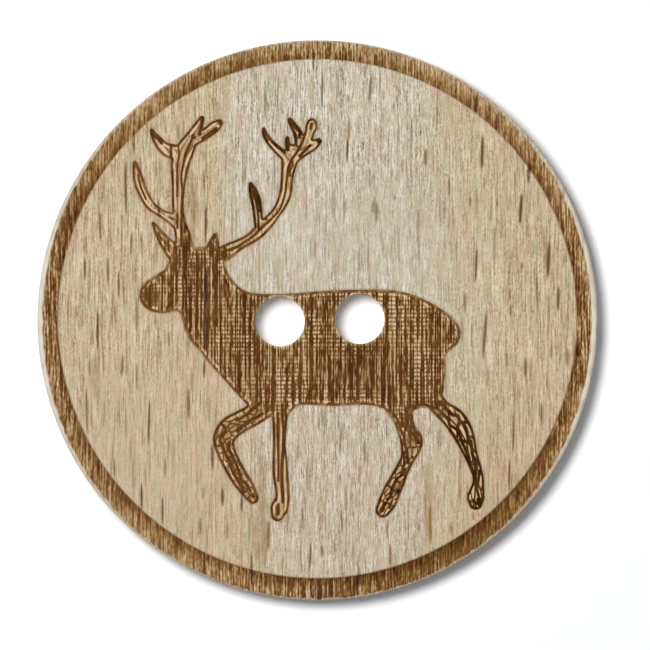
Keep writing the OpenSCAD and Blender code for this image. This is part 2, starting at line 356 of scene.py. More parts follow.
# %% Strokes in the hind legs
HIND_LEG_STROKES = [
    (0.05, [(4.8, -4.52), (4.98, -4.28), (5.23, -4.2), (5.5, -4.24), (5.85, -4.4)]),
    (0.04, [(3.78, -4.6), (4.06, -5.1), (4.22, -5.66)]),
    (0.04, [(4.72, -4.75), (4.68, -5.0), (4.77, -5.35), (5.05, -5.75)]),
    (0.05, [(4.2, -4.65), (4.26, -5.3)]),
    (0.05, [(4.45, -4.4), (4.44, -5.5)]),
    (0.05, [(6.3, -3.3), (6.27, -3.75), (6.4, -4.06)]),
    (0.05, [(4.31, -5.64), (4.34, -6.03), (4.42, -6.38), (4.49, -6.6), (4.51, -6.9), (4.55, -7.16)]),
    (0.04, [(4.34, -6.6), (4.34, -6.98), (4.31, -7.33), (4.25, -7.5), (4.2, -7.76), (3.99, -7.9)]),
    (0.07, [(4.38, -7.5), (4.35, -7.72)]),
    (0.08, [(4.8, -5.65), (4.95, -5.9), (5.06, -6.12)]),
    (0.06, [(3.99, -7.9), (3.77, -8.37), (3.64, -8.85), (3.5, -8.95)]),
    (0.07, [(3.4, -9.16), (3.34, -9.24)]),
    (0.1, [(3.27, -9.42), (3.22, -9.5)]),
    (0.05, [(3.73, -9.07), (3.62, -9.37)]),
    (0.09, [(6.14, -4.1), (6.28, -4.22)]),
    (0.06, [(6.28, -4.22), (6.5, -4.47), (6.76, -4.73), (7.03, -4.77), (7.11, -4.99), (7.42, -5.34)]),
    (0.06, [(7.42, -5.34), (7.5, -5.64), (7.55, -6.03), (7.68, -6.29)]),
    (0.06, [(6.2, -4.6), (6.42, -4.81), (6.55, -4.99), (6.63, -5.25), (6.85, -5.38), (7.07, -5.55)]),
    (0.06, [(7.07, -5.55), (7.16, -5.86), (7.24, -6.12), (7.37, -6.38), (7.46, -6.6)]),
    (0.06, [(7.68, -6.03), (7.72, -6.38), (7.76, -6.72), (7.89, -6.98), (7.91, -7.33), (7.91, -7.72)]),
    (0.045, [(7.91, -7.72), (7.94, -8.11), (7.98, -8.46), (8.07, -8.8)]),
    (0.09, [(8.07, -8.95), (8.07, -9.18)]),
    (0.07, [(7.46, -6.55), (7.55, -6.81), (7.63, -7.2)]),
    (0.045, [(8.11, -6.98), (8.2, -7.33), (8.11, -7.6), (8.07, -7.94), (7.98, -8.37)]),
]
print(len(HIND_LEG_STROKES), "strokes in the hind legs")

# %% Smooth curves through the strokes
FINE = 0.02                   # spacing of the samples along a stroke
CURVE_N = 12                  # parts of the curve between one point and the next
STROKES = LEFT_ANTLER_STROKES + EAR_STROKES + RIGHT_ANTLER_STROKES + FORELEG_STROKES
STROKES += HIND_LEG_STROKES


def curved(points, step):
    """Samples of a smooth curve through a few points."""
    p = np.array(points, float)
    q = np.vstack([2 * p[0] - p[1], p, 2 * p[-1] - p[-2]])
    t = np.linspace(0, 1, CURVE_N, endpoint=False)[:, None]
    parts = []
    for i in range(len(p) - 1):
        a, b, c, d = q[i:i + 4]
        second = 2 * a - 5 * b + 4 * c - d
        third = 3 * b - a - 3 * c + d
        parts.append((2 * b + (c - a) * t + second * t**2 + third * t**3) / 2)
    return evenly(np.vstack(parts + [p[-1:]]), step, False)


stroke_points = []
stroke_half = []
for half, points in STROKES:
    samples = curved(points, FINE)
    stroke_points.append(samples)
    stroke_half += [half] * len(samples)
stroke_points = np.vstack(stroke_points)
print(len(STROKES), "strokes,", len(stroke_half), "samples")

# %% [markdown]
# The burning in the antlers and legs follows each limb, so its pattern can't be read from plain x and y.
# Each limb gets a middle line, and a point's place is given by how far along and how far beside that line
# it lies. Three legs have a net of dark lines in them, and the other limbs have streaks.

# %% Middle lines of the limbs
# Each limb has a start, the length of its net's cells, how dark its lines are, and points of its middle.
FROM_BODY = 0.0               # a limb that grows out of the body starts at 0, and the burning changes there
FROM_LIMB = 2.0
ANTLERS = [
    (FROM_BODY, 0, 0.72, [(-6.9, 3.7), (-6.95, 5.0), (-6.95, 6.5), (-6.9, 7.6), (-6.6, 8.5),
                          (-6.15, 9.15)]),
    (FROM_LIMB, 0, 0.58, [(-6.95, 5.0), (-7.6, 5.3), (-8.3, 5.75), (-8.75, 6.4), (-9.0, 7.1)]),
    (FROM_LIMB, 0, 0.62, [(-6.95, 7.7), (-7.3, 8.3), (-7.8, 8.9), (-8.2, 9.4)]),
    (FROM_LIMB, 0, 0.7, [(-6.15, 9.15), (-5.9, 9.7), (-5.7, 10.2)]),
    (FROM_LIMB, 0, 0.68, [(-6.1, 9.1), (-5.5, 9.45), (-4.9, 9.9)]),
    (FROM_BODY, 0, 0.66, [(-4.6, 3.5), (-3.7, 3.95), (-2.8, 4.65), (-2.1, 5.4), (-1.65, 6.3),
                          (-1.5, 7.3)]),
    (FROM_LIMB, 0, 0.75, [(-1.5, 7.3), (-1.15, 8.2), (-0.75, 8.85), (-0.45, 9.6)]),
    (FROM_LIMB, 0, 0.95, [(-2.9, 4.5), (-2.98, 5.5), (-3.25, 6.6)]),
    (FROM_LIMB, 0, 0.8, [(-1.4, 8.1), (-2.0, 8.7), (-2.6, 9.3)]),
    (FROM_LIMB, 0, 0.85, [(-1.1, 8.6), (-1.05, 9.3), (-1.35, 10.0)]),
    (FROM_LIMB, 0, 0.82, [(-0.75, 8.5), (-0.2, 8.75), (0.2, 9.05)]),
    (FROM_BODY, 0, 0.58, [(-7.4, 3.0), (-7.75, 3.9), (-8.05, 4.5), (-8.25, 4.95)]),
]
LEGS = [
    (FROM_BODY, 0.36, 0.68, [(-2.6, -4.4), (-3.4, -4.95), (-4.2, -5.4), (-4.55, -5.9), (-4.5, -6.5),
                             (-4.2, -7.2), (-3.3, -8.8)]),
    (FROM_BODY, 0, 0.72, [(-1.75, -4.6), (-1.8, -6.0), (-1.82, -7.5), (-1.85, -9.0), (-1.9, -9.6)]),
    (FROM_BODY, 0.42, 0.8, [(4.36, -5.7), (4.45, -6.3), (4.5, -6.8), (4.3, -7.6), (3.85, -8.4),
                            (3.3, -9.4)]),
    (FROM_BODY, 0.75, 1.0, [(6.3, -4.2), (6.9, -5.1), (7.3, -5.9), (7.65, -6.8), (7.9, -7.7),
                            (8.05, -9.1)]),
]
LIMBS = ANTLERS + LEGS
limb_points = []
limb_ways = []
limb_facts = []
for start, net, dark, points in LIMBS:
    samples = curved(points, FINE)
    limb_points.append(samples)
    limb_ways.append(np.gradient(samples, axis=0) / FINE)
    limb_facts += [(start + k * FINE, net, dark) for k in range(len(samples))]
limb_points = np.vstack(limb_points)
limb_ways = np.vstack(limb_ways)
limb_facts = np.array(limb_facts)
print("limbs", len(LIMBS), "with", len(limb_points), "samples")

# %% [markdown]
# Beech is full of short brown flecks, where the rays of the tree are cut across. They are what the eye knows
# beech by, so the strongest ones are set where they lie on this button. Each is a thin upright dash: the
# place of its upper end, the place of its lower end, and its strength. Finer ones come from a noise in the
# material.

# %% Thin flecks on the left
LEFT_FLECKS = [
    (-9.18, 9.6, -9.17, 8.2, 0.9), (-9.62, 8.1, -9.55, 5.0, 0.95), (-10.25, 7.85, -10.25, 7.05, 0.45),
    (-10.76, 6.5, -10.77, 5.9, 0.5), (-10.88, 5.6, -10.84, 3.8, 0.8), (-7.93, 6.1, -7.92, 5.1, 0.8),
    (-5.58, 5.95, -5.6, 3.7, 1.0), (-5.68, 7.5, -5.67, 6.5, 0.6), (-4.98, 11.0, -4.98, 10.1, 0.4),
    (-8.1, 8.1, -8.1, 7.0, 0.3), (-9.08, 5.2, -9.07, 4.5, 0.45), (-5.67, 8.5, -5.67, 8.0, 0.35),
    (-11.64, 3.25, -11.62, 1.95, 0.95), (-10.48, 3.2, -10.47, 1.75, 0.8), (-9.94, 2.6, -9.93, 1.0, 0.85),
    (-9.28, 4.4, -9.3, 3.3, 0.7), (-8.8, 4.5, -8.78, 3.2, 0.5), (-10.99, 0.7, -10.97, -1.7, 1.0),
    (-9.04, 1.3, -9.04, -0.6, 0.7), (-9.72, -1.6, -9.79, -2.95, 0.8), (-9.03, -2.1, -9.03, -3.6, 0.65),
    (-11.55, -3.3, -11.5, -5.8, 0.8), (-8.39, -3.8, -8.45, -6.35, 0.95), (-7.43, -0.55, -7.43, -1.4, 0.45),
    (-8.1, 0.4, -8.11, -0.3, 0.5), (-5.65, -1.9, -5.68, -3.0, 0.9), (-11.68, -2.7, -11.7, -3.3, 0.5),
    (-10.17, -6.8, -10.15, -8.0, 0.7), (-8.79, -8.05, -8.78, -9.6, 1.0), (-7.62, -6.8, -7.6, -8.0, 0.6),
    (-7.75, -8.7, -7.74, -10.3, 0.9), (-5.85, -9.8, -5.85, -10.8, 0.6), (-5.73, -8.3, -5.73, -9.0, 0.45),
    (-10.33, 4.3, -10.33, 3.5, 0.4), (-11.4, -2.0, -11.4, -2.8, 0.4), (-5.67, -11.5, -5.66, -12.8, 0.7),
    (-9.72, 10.2, -9.71, 9.2, 0.4), (-12.3, 0.9, -12.3, 0.1, 0.3), (-7.1, -10.6, -7.1, -11.1, 0.35),
]
print(len(LEFT_FLECKS), "thin flecks on the left")

# %% Thin flecks in the middle
MIDDLE_FLECKS = [
    (-3.78, -8.6, -3.8, -9.65, 0.95), (-3.3, -11.5, -3.28, -13.5, 0.95), (-4.5, -10.0, -4.5, -11.0, 0.6),
    (-0.33, -11.0, -0.38, -12.6, 0.85), (1.17, -9.3, 1.25, -10.7, 0.8), (1.17, -5.2, 1.18, -6.7, 0.4),
    (2.36, -5.9, 2.37, -7.3, 0.6), (3.5, -9.9, 3.5, -11.0, 0.65), (3.63, -11.1, 3.65, -12.4, 0.8),
    (2.06, -12.2, 2.06, -13.3, 0.7), (0.85, -10.9, 0.85, -11.65, 0.5), (0.07, -4.8, 0.07, -5.6, 0.5),
    (0.22, -11.2, 0.23, -11.9, 0.7), (1.13, -7.6, 1.13, -8.1, 0.6), (0.24, 12.45, 0.23, 10.5, 0.85),
    (-0.2, 13.6, -0.2, 12.35, 0.9), (1.52, 9.3, 1.48, 7.75, 1.0), (2.76, 6.0, 2.77, 5.3, 0.65),
    (3.88, 6.35, 3.88, 5.95, 0.6), (2.63, 7.7, 2.6, 6.5, 0.45), (2.73, 12.5, 2.57, 10.95, 0.65),
    (-0.98, 13.0, -0.98, 12.0, 0.35), (1.55, 11.35, 1.55, 10.85, 0.65), (4.25, 8.1, 4.25, 7.3, 0.4),
    (2.5, 12.9, 2.35, 12.1, 0.5), (3.4, 8.4, 3.36, 7.65, 0.4), (1.3, 13.8, 1.3, 12.9, 0.6),
    (3.13, 13.6, 3.11, 12.6, 0.6), (4.07, 13.4, 4.05, 12.4, 0.6), (-1.9, 12.2, -1.9, 11.6, 0.3),
]
print(len(MIDDLE_FLECKS), "thin flecks in the middle")

# %% Thin flecks on the right
RIGHT_FLECKS = [
    (9.82, -4.4, 9.78, -6.75, 0.85), (9.62, -6.9, 9.58, -8.7, 0.8), (9.03, -4.8, 9.02, -5.9, 0.4),
    (6.66, -10.1, 6.68, -10.8, 0.5), (11.2, -4.1, 11.2, -5.3, 0.7), (7.97, 3.75, 7.9, 1.8, 0.95),
    (9.63, 1.65, 9.61, 0.95, 0.65), (9.65, 0.85, 9.65, 0.15, 0.75), (6.96, 4.2, 6.94, 3.0, 0.4),
    (8.08, 1.8, 8.07, 1.2, 0.35), (9.48, -1.6, 9.47, -2.4, 0.5), (11.7, -1.2, 11.7, -2.0, 0.5),
    (8.88, 4.7, 8.88, 4.0, 0.45), (5.04, 5.8, 5.02, 3.6, 0.5), (6.58, 7.35, 6.6, 6.1, 0.75),
    (7.65, 6.25, 7.65, 5.65, 0.65), (8.35, 7.25, 8.33, 6.5, 0.5), (9.0, 6.1, 9.0, 5.6, 0.55),
    (5.03, 11.45, 5.03, 11.0, 0.4), (6.0, 10.8, 5.99, 9.8, 0.45), (7.97, 11.4, 7.96, 10.3, 0.85),
    (8.97, 10.4, 8.96, 9.5, 0.7), (9.9, 7.5, 9.89, 6.6, 0.45), (10.24, 2.95, 10.24, 2.5, 0.65),
    (8.98, -3.65, 8.98, -4.05, 0.6), (5.1, -10.1, 5.1, -10.7, 0.45), (7.8, -9.5, 7.8, -10.1, 0.6),
    (10.6, -0.2, 10.6, -0.8, 0.3), (12.3, 3.2, 12.3, 2.6, 0.35), (7.2, -2.4, 7.2, -3.1, 0.35),
]
print(len(RIGHT_FLECKS), "thin flecks on the right")

# %% Broad flecks and rusty ones
BROAD_FLECKS = [
    (-6.95, 9.9, -6.94, 9.0, 0.4), (-6.45, -3.3, -6.43, -5.05, 0.75), (-5.26, -6.1, -5.24, -7.6, 0.85),
    (-4.75, -8.35, -4.75, -9.35, 0.85), (-5.54, 2.7, -5.56, 0.4, 0.85), (-5.56, 0.6, -5.57, -1.6, 0.8),
    (-2.43, -9.9, -2.46, -11.6, 0.8), (-0.76, -9.2, -0.71, -10.7, 0.45), (0.08, -12.9, 0.08, -14.4, 1.6),
    (-2.6, 11.6, -2.57, 9.8, 0.4), (0.78, 6.7, 0.77, 4.9, 0.35), (6.1, -5.4, 6.1, -6.5, 0.4),
    (11.6, 4.05, 11.51, 1.95, 1.0), (12.07, 1.8, 12.02, 0.4, 0.9), (8.47, 0.65, 8.28, -2.0, 0.85),
    (7.4, 1.45, 7.36, 0.4, 0.6), (10.41, -1.8, 10.39, -2.9, 0.75), (8.28, 9.4, 8.2, 7.4, 1.0),
    (10.23, 6.45, 10.11, 4.65, 1.0), (10.6, 7.9, 10.55, 6.8, 1.0), (2.85, 6.25, 2.84, 5.2, 0.45),
]
RUST_FLECKS = [
    (5.41, 8.6, 5.42, 7.65, 0.95), (1.61, 10.1, 1.59, 9.0, 0.8), (2.97, 6.0, 2.93, 4.7, 0.7),
    (5.63, -9.0, 5.66, -11.3, 1.0), (5.48, -7.6, 5.52, -9.1, 0.5), (12.51, -1.35, 12.51, -2.35, 0.8),
    (8.52, -2.3, 8.48, -3.5, 0.5), (-2.6, -9.4, -2.62, -12.6, 0.6), (-10.98, -1.5, -10.96, -3.1, 0.45),
]
RUST_BANDS = [
    (5.5, -6.8, 5.55, -11.6, 0.45), (-2.75, -6.4, -2.72, -12.6, 0.5), (-6.2, 7.0, -6.2, 4.6, 0.4),
    (-7.85, 8.3, -7.75, 6.9, 0.3), (-3.1, -9.5, -3.0, -12.3, 0.35), (-11.1, -1.5, -11.08, -4.2, 0.35),
]
print(len(BROAD_FLECKS), "broad flecks,", len(RUST_FLECKS), "rusty ones,", len(RUST_BANDS), "rusty bands")

# %% [markdown]
# The front face is one mesh, so that the bare wood, the ring, the stag and the holes meet without seams. It
# starts flat: a cloud of points, dense where the burning needs relief and sparse on bare wood, joined into
# triangles by a Delaunay triangulation that keeps the outline's own edges. A subdivided disc would need
# millions of faces to follow antlers 0.4 mm wide.

# %% Nearest distance to a set of points
def tree_of(points):
    """A search tree of points in the plane."""
    tree = kdtree.KDTree(len(points))
    for i, (x, y) in enumerate(points):
        tree.insert((x, y, 0), i)
    tree.balance()
    return tree


def gaps(tree, points):
    """The distance from each point to the nearest point of the tree."""
    return np.array([tree.find((x, y, 0))[2] for x, y in points])


outline_samples = np.vstack([evenly(loop, FINE, True) for loop in stag_loops])
outline_tree = tree_of(outline_samples)
print("outline", len(outline_samples), "samples")

# %% Which points lie inside the stag
def inside_stag(points):
    """True for each point that the outline runs round, by counting crossings to its right."""
    found = np.zeros(len(points), bool)
    x, y = np.asarray(points, float).T
    for loop in stag_loops:
        for (ax, ay), (bx, by) in zip(loop, np.roll(loop, -1, 0)):
            rows = np.nonzero((ay > y) != (by > y))[0]
            cross = ax + (y[rows] - ay) * (bx - ax) / (by - ay)
            found[rows] ^= x[rows] < cross
    return found


print("middle of the body inside:", bool(inside_stag([(0.0, -2.0)])[0]))

# %% Sewing holes
HOLE_LIP = 0.03               # the drill leaves a slightly worn edge
holes = []
for mount in frame["record"]["mounts"]:
    if mount["kind"] == "bore":
        holes.append((mount["pos_m"][0] / MM, mount["pos_m"][1] / MM, mount["dims"]["r_mm"]))
print("holes at", [(round(x, 2), round(y, 2)) for x, y, r in holes])

# %% Points of the front face
RIM_N = 840                   # points round the rim and the ring, one for each 0.1 mm
HOLE_N = 120
WOOD_STEP = 0.25
BURN_STEP = 0.066
RING_UP = 0.08                # the burnt ring sits a little high, so it is broader at the bottom
RING_ROWS = 7                 # rows of points across the flat of the ring
RING_FLAT = 0.3               # the flat starts this far outside the ring's inner edge
RING_EDGE = (0.17, 0.12, 0.08, 0.04, 0.0, -0.05)    # rows beside the inner edge
HOLE_ROWS = (0.0, 0.06, 0.13)                       # rows round a hole, from its lip outwards
OUTLINE_ROWS = (0.06, -0.03, -0.075, -0.12, -0.165)    # rows beside the outline, for the sides of its groove


def circle(r, n, x=0.0, y=0.0, turn=0.0):
    """Points of a circle."""
    a = np.arange(n) * 2 * math.pi / n + turn
    return np.column_stack([x + r * np.cos(a), y + r * np.sin(a)])


def lattice(step, r):
    """Points at even distances in staggered rows, inside a circle."""
    high_step = step * math.sqrt(3) / 2
    n = int(r / step) + 1
    m = int(r / high_step) + 1
    i, j = np.meshgrid(np.arange(-n, n + 1), np.arange(-m, m + 1))
    points = np.column_stack([((i + 0.5 * (j % 2)) * step).ravel(), (j * high_step).ravel()])
    return points[np.hypot(*points.T) < r]


half_turn = math.pi / RIM_N
groups = [circle(RIM_R, RIM_N)]
for k, r in enumerate(np.linspace(RING_OUT, RING_IN + RING_FLAT, RING_ROWS)):
    groups.append(circle(r, RIM_N, turn=(k + 1) % 2 * half_turn))
for k, grow in enumerate(RING_EDGE):
    groups.append(circle(RING_IN + grow, RIM_N, y=RING_UP, turn=(k + 1) % 2 * half_turn))
for x, y, r in holes:
    for k, grow in enumerate(HOLE_ROWS):
        groups.append(circle(r + (HOLE_LIP + grow), HOLE_N, x, y, k % 2 * math.pi / HOLE_N))
fixed_count = sum(len(g) for g in groups)
print("ring and holes", fixed_count, "points")

# %% Points along the outline
TRY_N = 50                    # this many points, moved by a little, tell which side is inside
TRY_MOVE = 0.01
ROW_SLACK = 0.012             # a row's point is dropped where another stretch of outline is nearer
edges = []
for loop in stag_loops:
    start = sum(len(g) for g in groups)
    groups.append(loop)
    ids = np.arange(start, start + len(loop))
    edges += list(zip(ids.tolist(), np.roll(ids, -1).tolist()))
for loop in stag_loops:
    along = np.roll(loop, -1, 0) - np.roll(loop, 1, 0)
    outward = np.column_stack([-along[:, 1], along[:, 0]]) / np.hypot(*along.T)[:, None]
    if inside_stag(loop[:TRY_N] - TRY_MOVE * outward[:TRY_N]).mean() <= 0.5:
        outward = -outward
    for row in OUTLINE_ROWS:
        moved = loop + row * outward
        true_row = np.abs(gaps(outline_tree, moved) - abs(row)) < ROW_SLACK
        groups.append(moved[true_row])
row_tree = tree_of(np.vstack(groups))
print("outline and its rows", sum(len(g) for g in groups) - fixed_count, "points")

# %% Points along the flecks
THIN = 0.055                  # half widths
BROAD = 0.085
BAND = 0.22
FLECK_STEP = 0.15
FLECK_SPREAD = (-2.4, -1.3, -0.6, 0.0, 0.6, 1.3, 2.4)    # in half widths, to either side
FLECK_CLEAR = 0.04            # from the points of the outline
RING_CLEAR = 0.12             # from the inner edge of the ring
flecks = [(f, THIN) for f in LEFT_FLECKS + MIDDLE_FLECKS + RIGHT_FLECKS]
flecks += [(f, BROAD) for f in BROAD_FLECKS]
rusts = [(f, BROAD) for f in RUST_FLECKS] + [(f, BAND) for f in RUST_BANDS]
fleck_points = []
for (x1, y1, x2, y2, strength), half in flecks + rusts:
    spine = evenly([(x1, y1), (x2, y2)], FLECK_STEP, False)
    for share in FLECK_SPREAD:
        fleck_points.append(spine + (share * half, 0))
fleck_points = np.vstack(fleck_points)
fleck_points = fleck_points[np.hypot(*fleck_points.T) < RING_IN - RING_CLEAR]
fleck_points = fleck_points[gaps(row_tree, fleck_points) > FLECK_CLEAR]
fleck_points = fleck_points[~inside_stag(fleck_points)]
groups.append(fleck_points)
row_tree = tree_of(np.vstack(groups))
print("flecks", len(fleck_points), "points")

# %% Points between them
BURN_CLEAR = 0.6 * BURN_STEP
WOOD_CLEAR = 0.5 * WOOD_STEP
fill = lattice(BURN_STEP, RING_IN - RING_CLEAR)
fill = fill[inside_stag(fill)]
fill = fill[gaps(row_tree, fill) > BURN_CLEAR]
bare = lattice(WOOD_STEP, RING_IN - RING_CLEAR)
bare = bare[gaps(row_tree, bare) > WOOD_CLEAR]
bare = bare[~inside_stag(bare)]
groups += [fill, bare]
flat_points = np.vstack(groups)
print("burnt", len(fill), "bare", len(bare), "all", len(flat_points), "points")

# %% Triangles of the front face
EPS = 1e-5                    # two points nearer than this become one


def joined(points, edges, holes, lip):
    """Triangles between points in the plane, with the holes left open."""
    made = geometry.delaunay_2d_cdt([Vector(p) for p in points], edges, [], 0, EPS)
    places = np.array([tuple(v) for v in made[0]])
    faces = np.array(made[2])
    middle = places[faces].mean(1)
    keep = np.ones(len(faces), bool)
    for x, y, r in holes:
        keep &= np.hypot(middle[:, 0] - x, middle[:, 1] - y) > (r + lip) * math.cos(math.pi / HOLE_N)
    return places, faces[keep]


front, front_faces = joined(flat_points, edges, holes, HOLE_LIP)
print("front face", len(front_faces), "triangles")

# %% [markdown]
# The rest of the button is turned on a lathe and drilled: a rounded edge, a straight side, a rounded lower
# edge, and two plain holes with slightly worn lips. Rows of points are laid down from the rim and from each
# hole, joined by quads, and closed by a flat back, so that the whole button is a single closed skin.

# %% Vertices and faces of the whole button
SAME = 1e-4                   # two places this near are one
vertices = [np.column_stack([front, np.full(len(front), TOP)])]
faces = [tuple(f) for f in front_faces.tolist()]
carve = [np.ones(len(front))]    # how much of the carving each vertex takes
count = len(front)


def ring_of(points, r, x=0.0, y=0.0):
    """The numbers of the points on a circle, in order round it."""
    on = np.nonzero(np.abs(np.hypot(points[:, 0] - x, points[:, 1] - y) - r) < SAME)[0]
    return on[np.argsort(np.arctan2(points[on, 1] - y, points[on, 0] - x))]


def lay_rows(first, profile, x, y, inwards):
    """Lays rows of quads from a circle through (radius, height, carving) steps, and returns the last row."""
    global count
    above = np.asarray(first)
    start = np.vstack(vertices)[above]
    angle = np.arctan2(start[:, 1] - y, start[:, 0] - x)
    for r, z, share in profile:
        row = np.arange(count, count + len(above))
        level = np.full(len(above), z)
        vertices.append(np.column_stack([x + r * np.cos(angle), y + r * np.sin(angle), level]))
        carve.append(np.full(len(above), share))
        count += len(above)
        for k in range(len(above)):
            n = (k + 1) % len(above)
            quad = (above[k], row[k], row[n], above[n])
            faces.append(tuple(int(v) for v in (quad[::-1] if inwards else quad)))
        above = row
    return above


print("front face", count, "vertices")

# %% Rounded rim and side
ARC = 5                       # rows round a quarter of a turn
quarter = [math.pi / 2 * k / ARC for k in range(1, ARC + 1)]
side = [(RIM_R + EDGE_R * math.sin(t), TOP - EDGE_R * (1 - math.cos(t)), 0.0) for t in quarter]
side += [(BUTTON_R, TOP / 2, 0.0)]
for t in [0] + quarter:
    side.append((RIM_R + EDGE_R * math.cos(t), EDGE_R * (1 - math.sin(t)), 0.0))
back_rim = lay_rows(ring_of(front, RIM_R), side, 0.0, 0.0, False)
print("side rows", len(side))

# %% Hole walls
WALL_ROWS = (0.75, 0.5, 0.25)    # heights, as shares of the thickness
LIP_STEP = 0.3                # the lower lip has one row between its ends
back_holes = []
for x, y, r in holes:
    wall = []
    for t in quarter[1::2] + [math.pi / 2]:
        wall.append((r + HOLE_LIP * (1 - math.sin(t)), TOP - HOLE_LIP * (1 - math.cos(t)), 1.0))
    wall += [(r, TOP * share, share) for share in WALL_ROWS]
    wall += [(r, HOLE_LIP, 0.0), (r + LIP_STEP * HOLE_LIP, LIP_STEP * HOLE_LIP, 0.0)]
    wall += [(r + HOLE_LIP, 0.0, 0.0)]
    back_holes.append(lay_rows(ring_of(front, r + HOLE_LIP, x, y), wall, x, y, True))
print("hole walls end at", [len(h) for h in back_holes], "points")

# %% Back face
BACK_STEP = 1.0
BACK_RIM = 0.6                # its inner points keep this far from the rim
BACK_HOLE = 0.5               # and this far from a hole
back_ids = np.concatenate([back_rim] + back_holes)
back_edges = np.vstack(vertices)[back_ids][:, :2]
inner = lattice(BACK_STEP, RIM_R - BACK_RIM)
for x, y, r in holes:
    inner = inner[np.hypot(inner[:, 0] - x, inner[:, 1] - y) > r + BACK_HOLE]
back, back_faces = joined(np.vstack([back_edges, inner]), [], holes, HOLE_LIP)
finder = tree_of(back_edges)
back_number = []
for x, y in back:
    place, i, gap = finder.find((x, y, 0))
    if gap < SAME:
        back_number.append(int(back_ids[i]))
    else:
        back_number.append(count)
        vertices.append(np.array([[x, y, 0.0]]))
        carve.append(np.zeros(1))
        count += 1
faces += [tuple(back_number[v] for v in f[::-1]) for f in back_faces.tolist()]
places = np.vstack(vertices)
print("whole button", len(places), "vertices,", len(faces), "faces")

# %% One mesh
mesh = bpy.data.meshes.new("button flat")
mesh.from_pydata((places * MM).tolist(), [], faces)
mesh.validate()
mesh.update()
blank = bpy.data.objects.new("button_flat", mesh)
bpy.context.scene.collection.objects.link(blank)
print("blank", len(mesh.polygons), "faces")

# %% [markdown]
# A few numbers go with every vertex, as attributes: how far it lies inside the outline, how far from the
# nearest stroke, its place on a limb, how strong the flecks are there, and how much of the carving it
# takes. The carving and the colour of the wood both read them, so they always agree.

# %% How strong the flecks are at each point
FRONT_DEEP = 0.1              # what lies less deep than this belongs to the front
FLECK_TIP = 0.4               # at its ends, a fleck is this share of its width
FLECK_FADE = 6                # it fades over a sixth of its length at either end
FLECK_SIDE = 1.5              # its sides fade until this many half widths


def strength_of(flecks, points):
    """The strongest fleck at each point: full along its middle, fading to its sides and its two ends."""
    found = np.zeros(len(points))
    for (x1, y1, x2, y2, strength), half in flecks:
        along = (y1 - points[:, 1]) / (y1 - y2)
        taper = FLECK_TIP + (1 - FLECK_TIP) * np.sin(math.pi * np.clip(along, 0, 1))
        aside = np.abs(points[:, 0] - x1 - along * (x2 - x1)) / (half * taper)
        ends = np.clip(FLECK_FADE * np.minimum(along, 1 - along), 0, 1)
        found = np.maximum(found, strength * ends * np.clip(FLECK_SIDE - aside, 0, 1))
    return found


plane = places[:, :2]
on_front = places[:, 2] > TOP - FRONT_DEEP
fleck = strength_of(flecks, plane) * on_front
rust = strength_of(rusts, plane) * on_front
print("flecks reach", int((fleck > 0.2).sum()), "vertices")

# %% How far inside the outline, and from the nearest stroke
FAR = 0.6                     # distances past this make no difference
BESIDE = 0.05                 # strokes and limbs are looked up this far outside the outline as well
NEAREST = 4                   # stroke samples tried at each point, because the widths differ
inset = np.minimum(gaps(outline_tree, plane), FAR)
inset[~inside_stag(plane)] *= -1
stroke_tree = tree_of(stroke_points)
stroke_half = np.array(stroke_half)
stroke = np.full(len(plane), FAR)
about_stag = np.nonzero(inset > -BESIDE)[0]
for i in about_stag:
    for place, k, gap in stroke_tree.find_n((plane[i, 0], plane[i, 1], 0), NEAREST):
        stroke[i] = min(stroke[i], gap - stroke_half[k])
print("inside the stag", int((inset > 0).sum()), "vertices")

# %% The place on a limb
LIMB_HALF = 0.9               # no point of a limb lies further from its middle line
LIMB_BLEND = 0.6              # over this length, the burning of the body turns into that of the limb
BODY_LINE = 0.46              # how dark the outline of the body is, on the scale of the burn
limb_tree = tree_of(limb_points)
limb = np.zeros(len(plane))
line = np.full(len(plane), BODY_LINE)
limb_place = np.zeros((len(plane), 3))
for i in about_stag:
    place, k, gap = limb_tree.find((plane[i, 0], plane[i, 1], 0))
    along, net, dark = limb_facts[k]
    away = plane[i] - limb_points[k]
    aside = limb_ways[k, 0] * away[1] - limb_ways[k, 1] * away[0]
    limb_place[i] = (along, aside, net)
    limb[i] = min(1, along / LIMB_BLEND) * (gap < LIMB_HALF)
    line[i] += limb[i] * (dark - BODY_LINE)
print("on the limbs", int((limb > 0.5).sum()), "vertices")

# %% Spots of char, and pale lips round the holes
# Each spot has its place, its radius, the width of its soft edge and its strength.
CHAR_SPOTS = [
    (4.04, -8.56, 0.2, 0.28, 1.0),
    (4.19, -8.16, 0.12, 0.12, 0.7),
    (-8.42, 1.15, 0.5, 0.35, 0.62),
]
LIP_W = 0.12                  # the wood is burnt less right beside a hole
char = np.zeros(len(plane))
for x, y, r, soft, strength in CHAR_SPOTS:
    away = np.hypot(plane[:, 0] - x, plane[:, 1] - y)
    char = np.maximum(char, strength * np.clip(0.5 + (r - away) / soft, 0, 1))
char *= on_front
lip = np.zeros(len(plane))
for x, y, r in holes:
    away = np.hypot(plane[:, 0] - x, plane[:, 1] - y) - r - HOLE_LIP
    lip = np.maximum(lip, np.clip(1 - away / LIP_W, 0, 1))
print("char on", int((char > 0.5).sum()), "vertices, lips on", int((lip > 0.5).sum()))

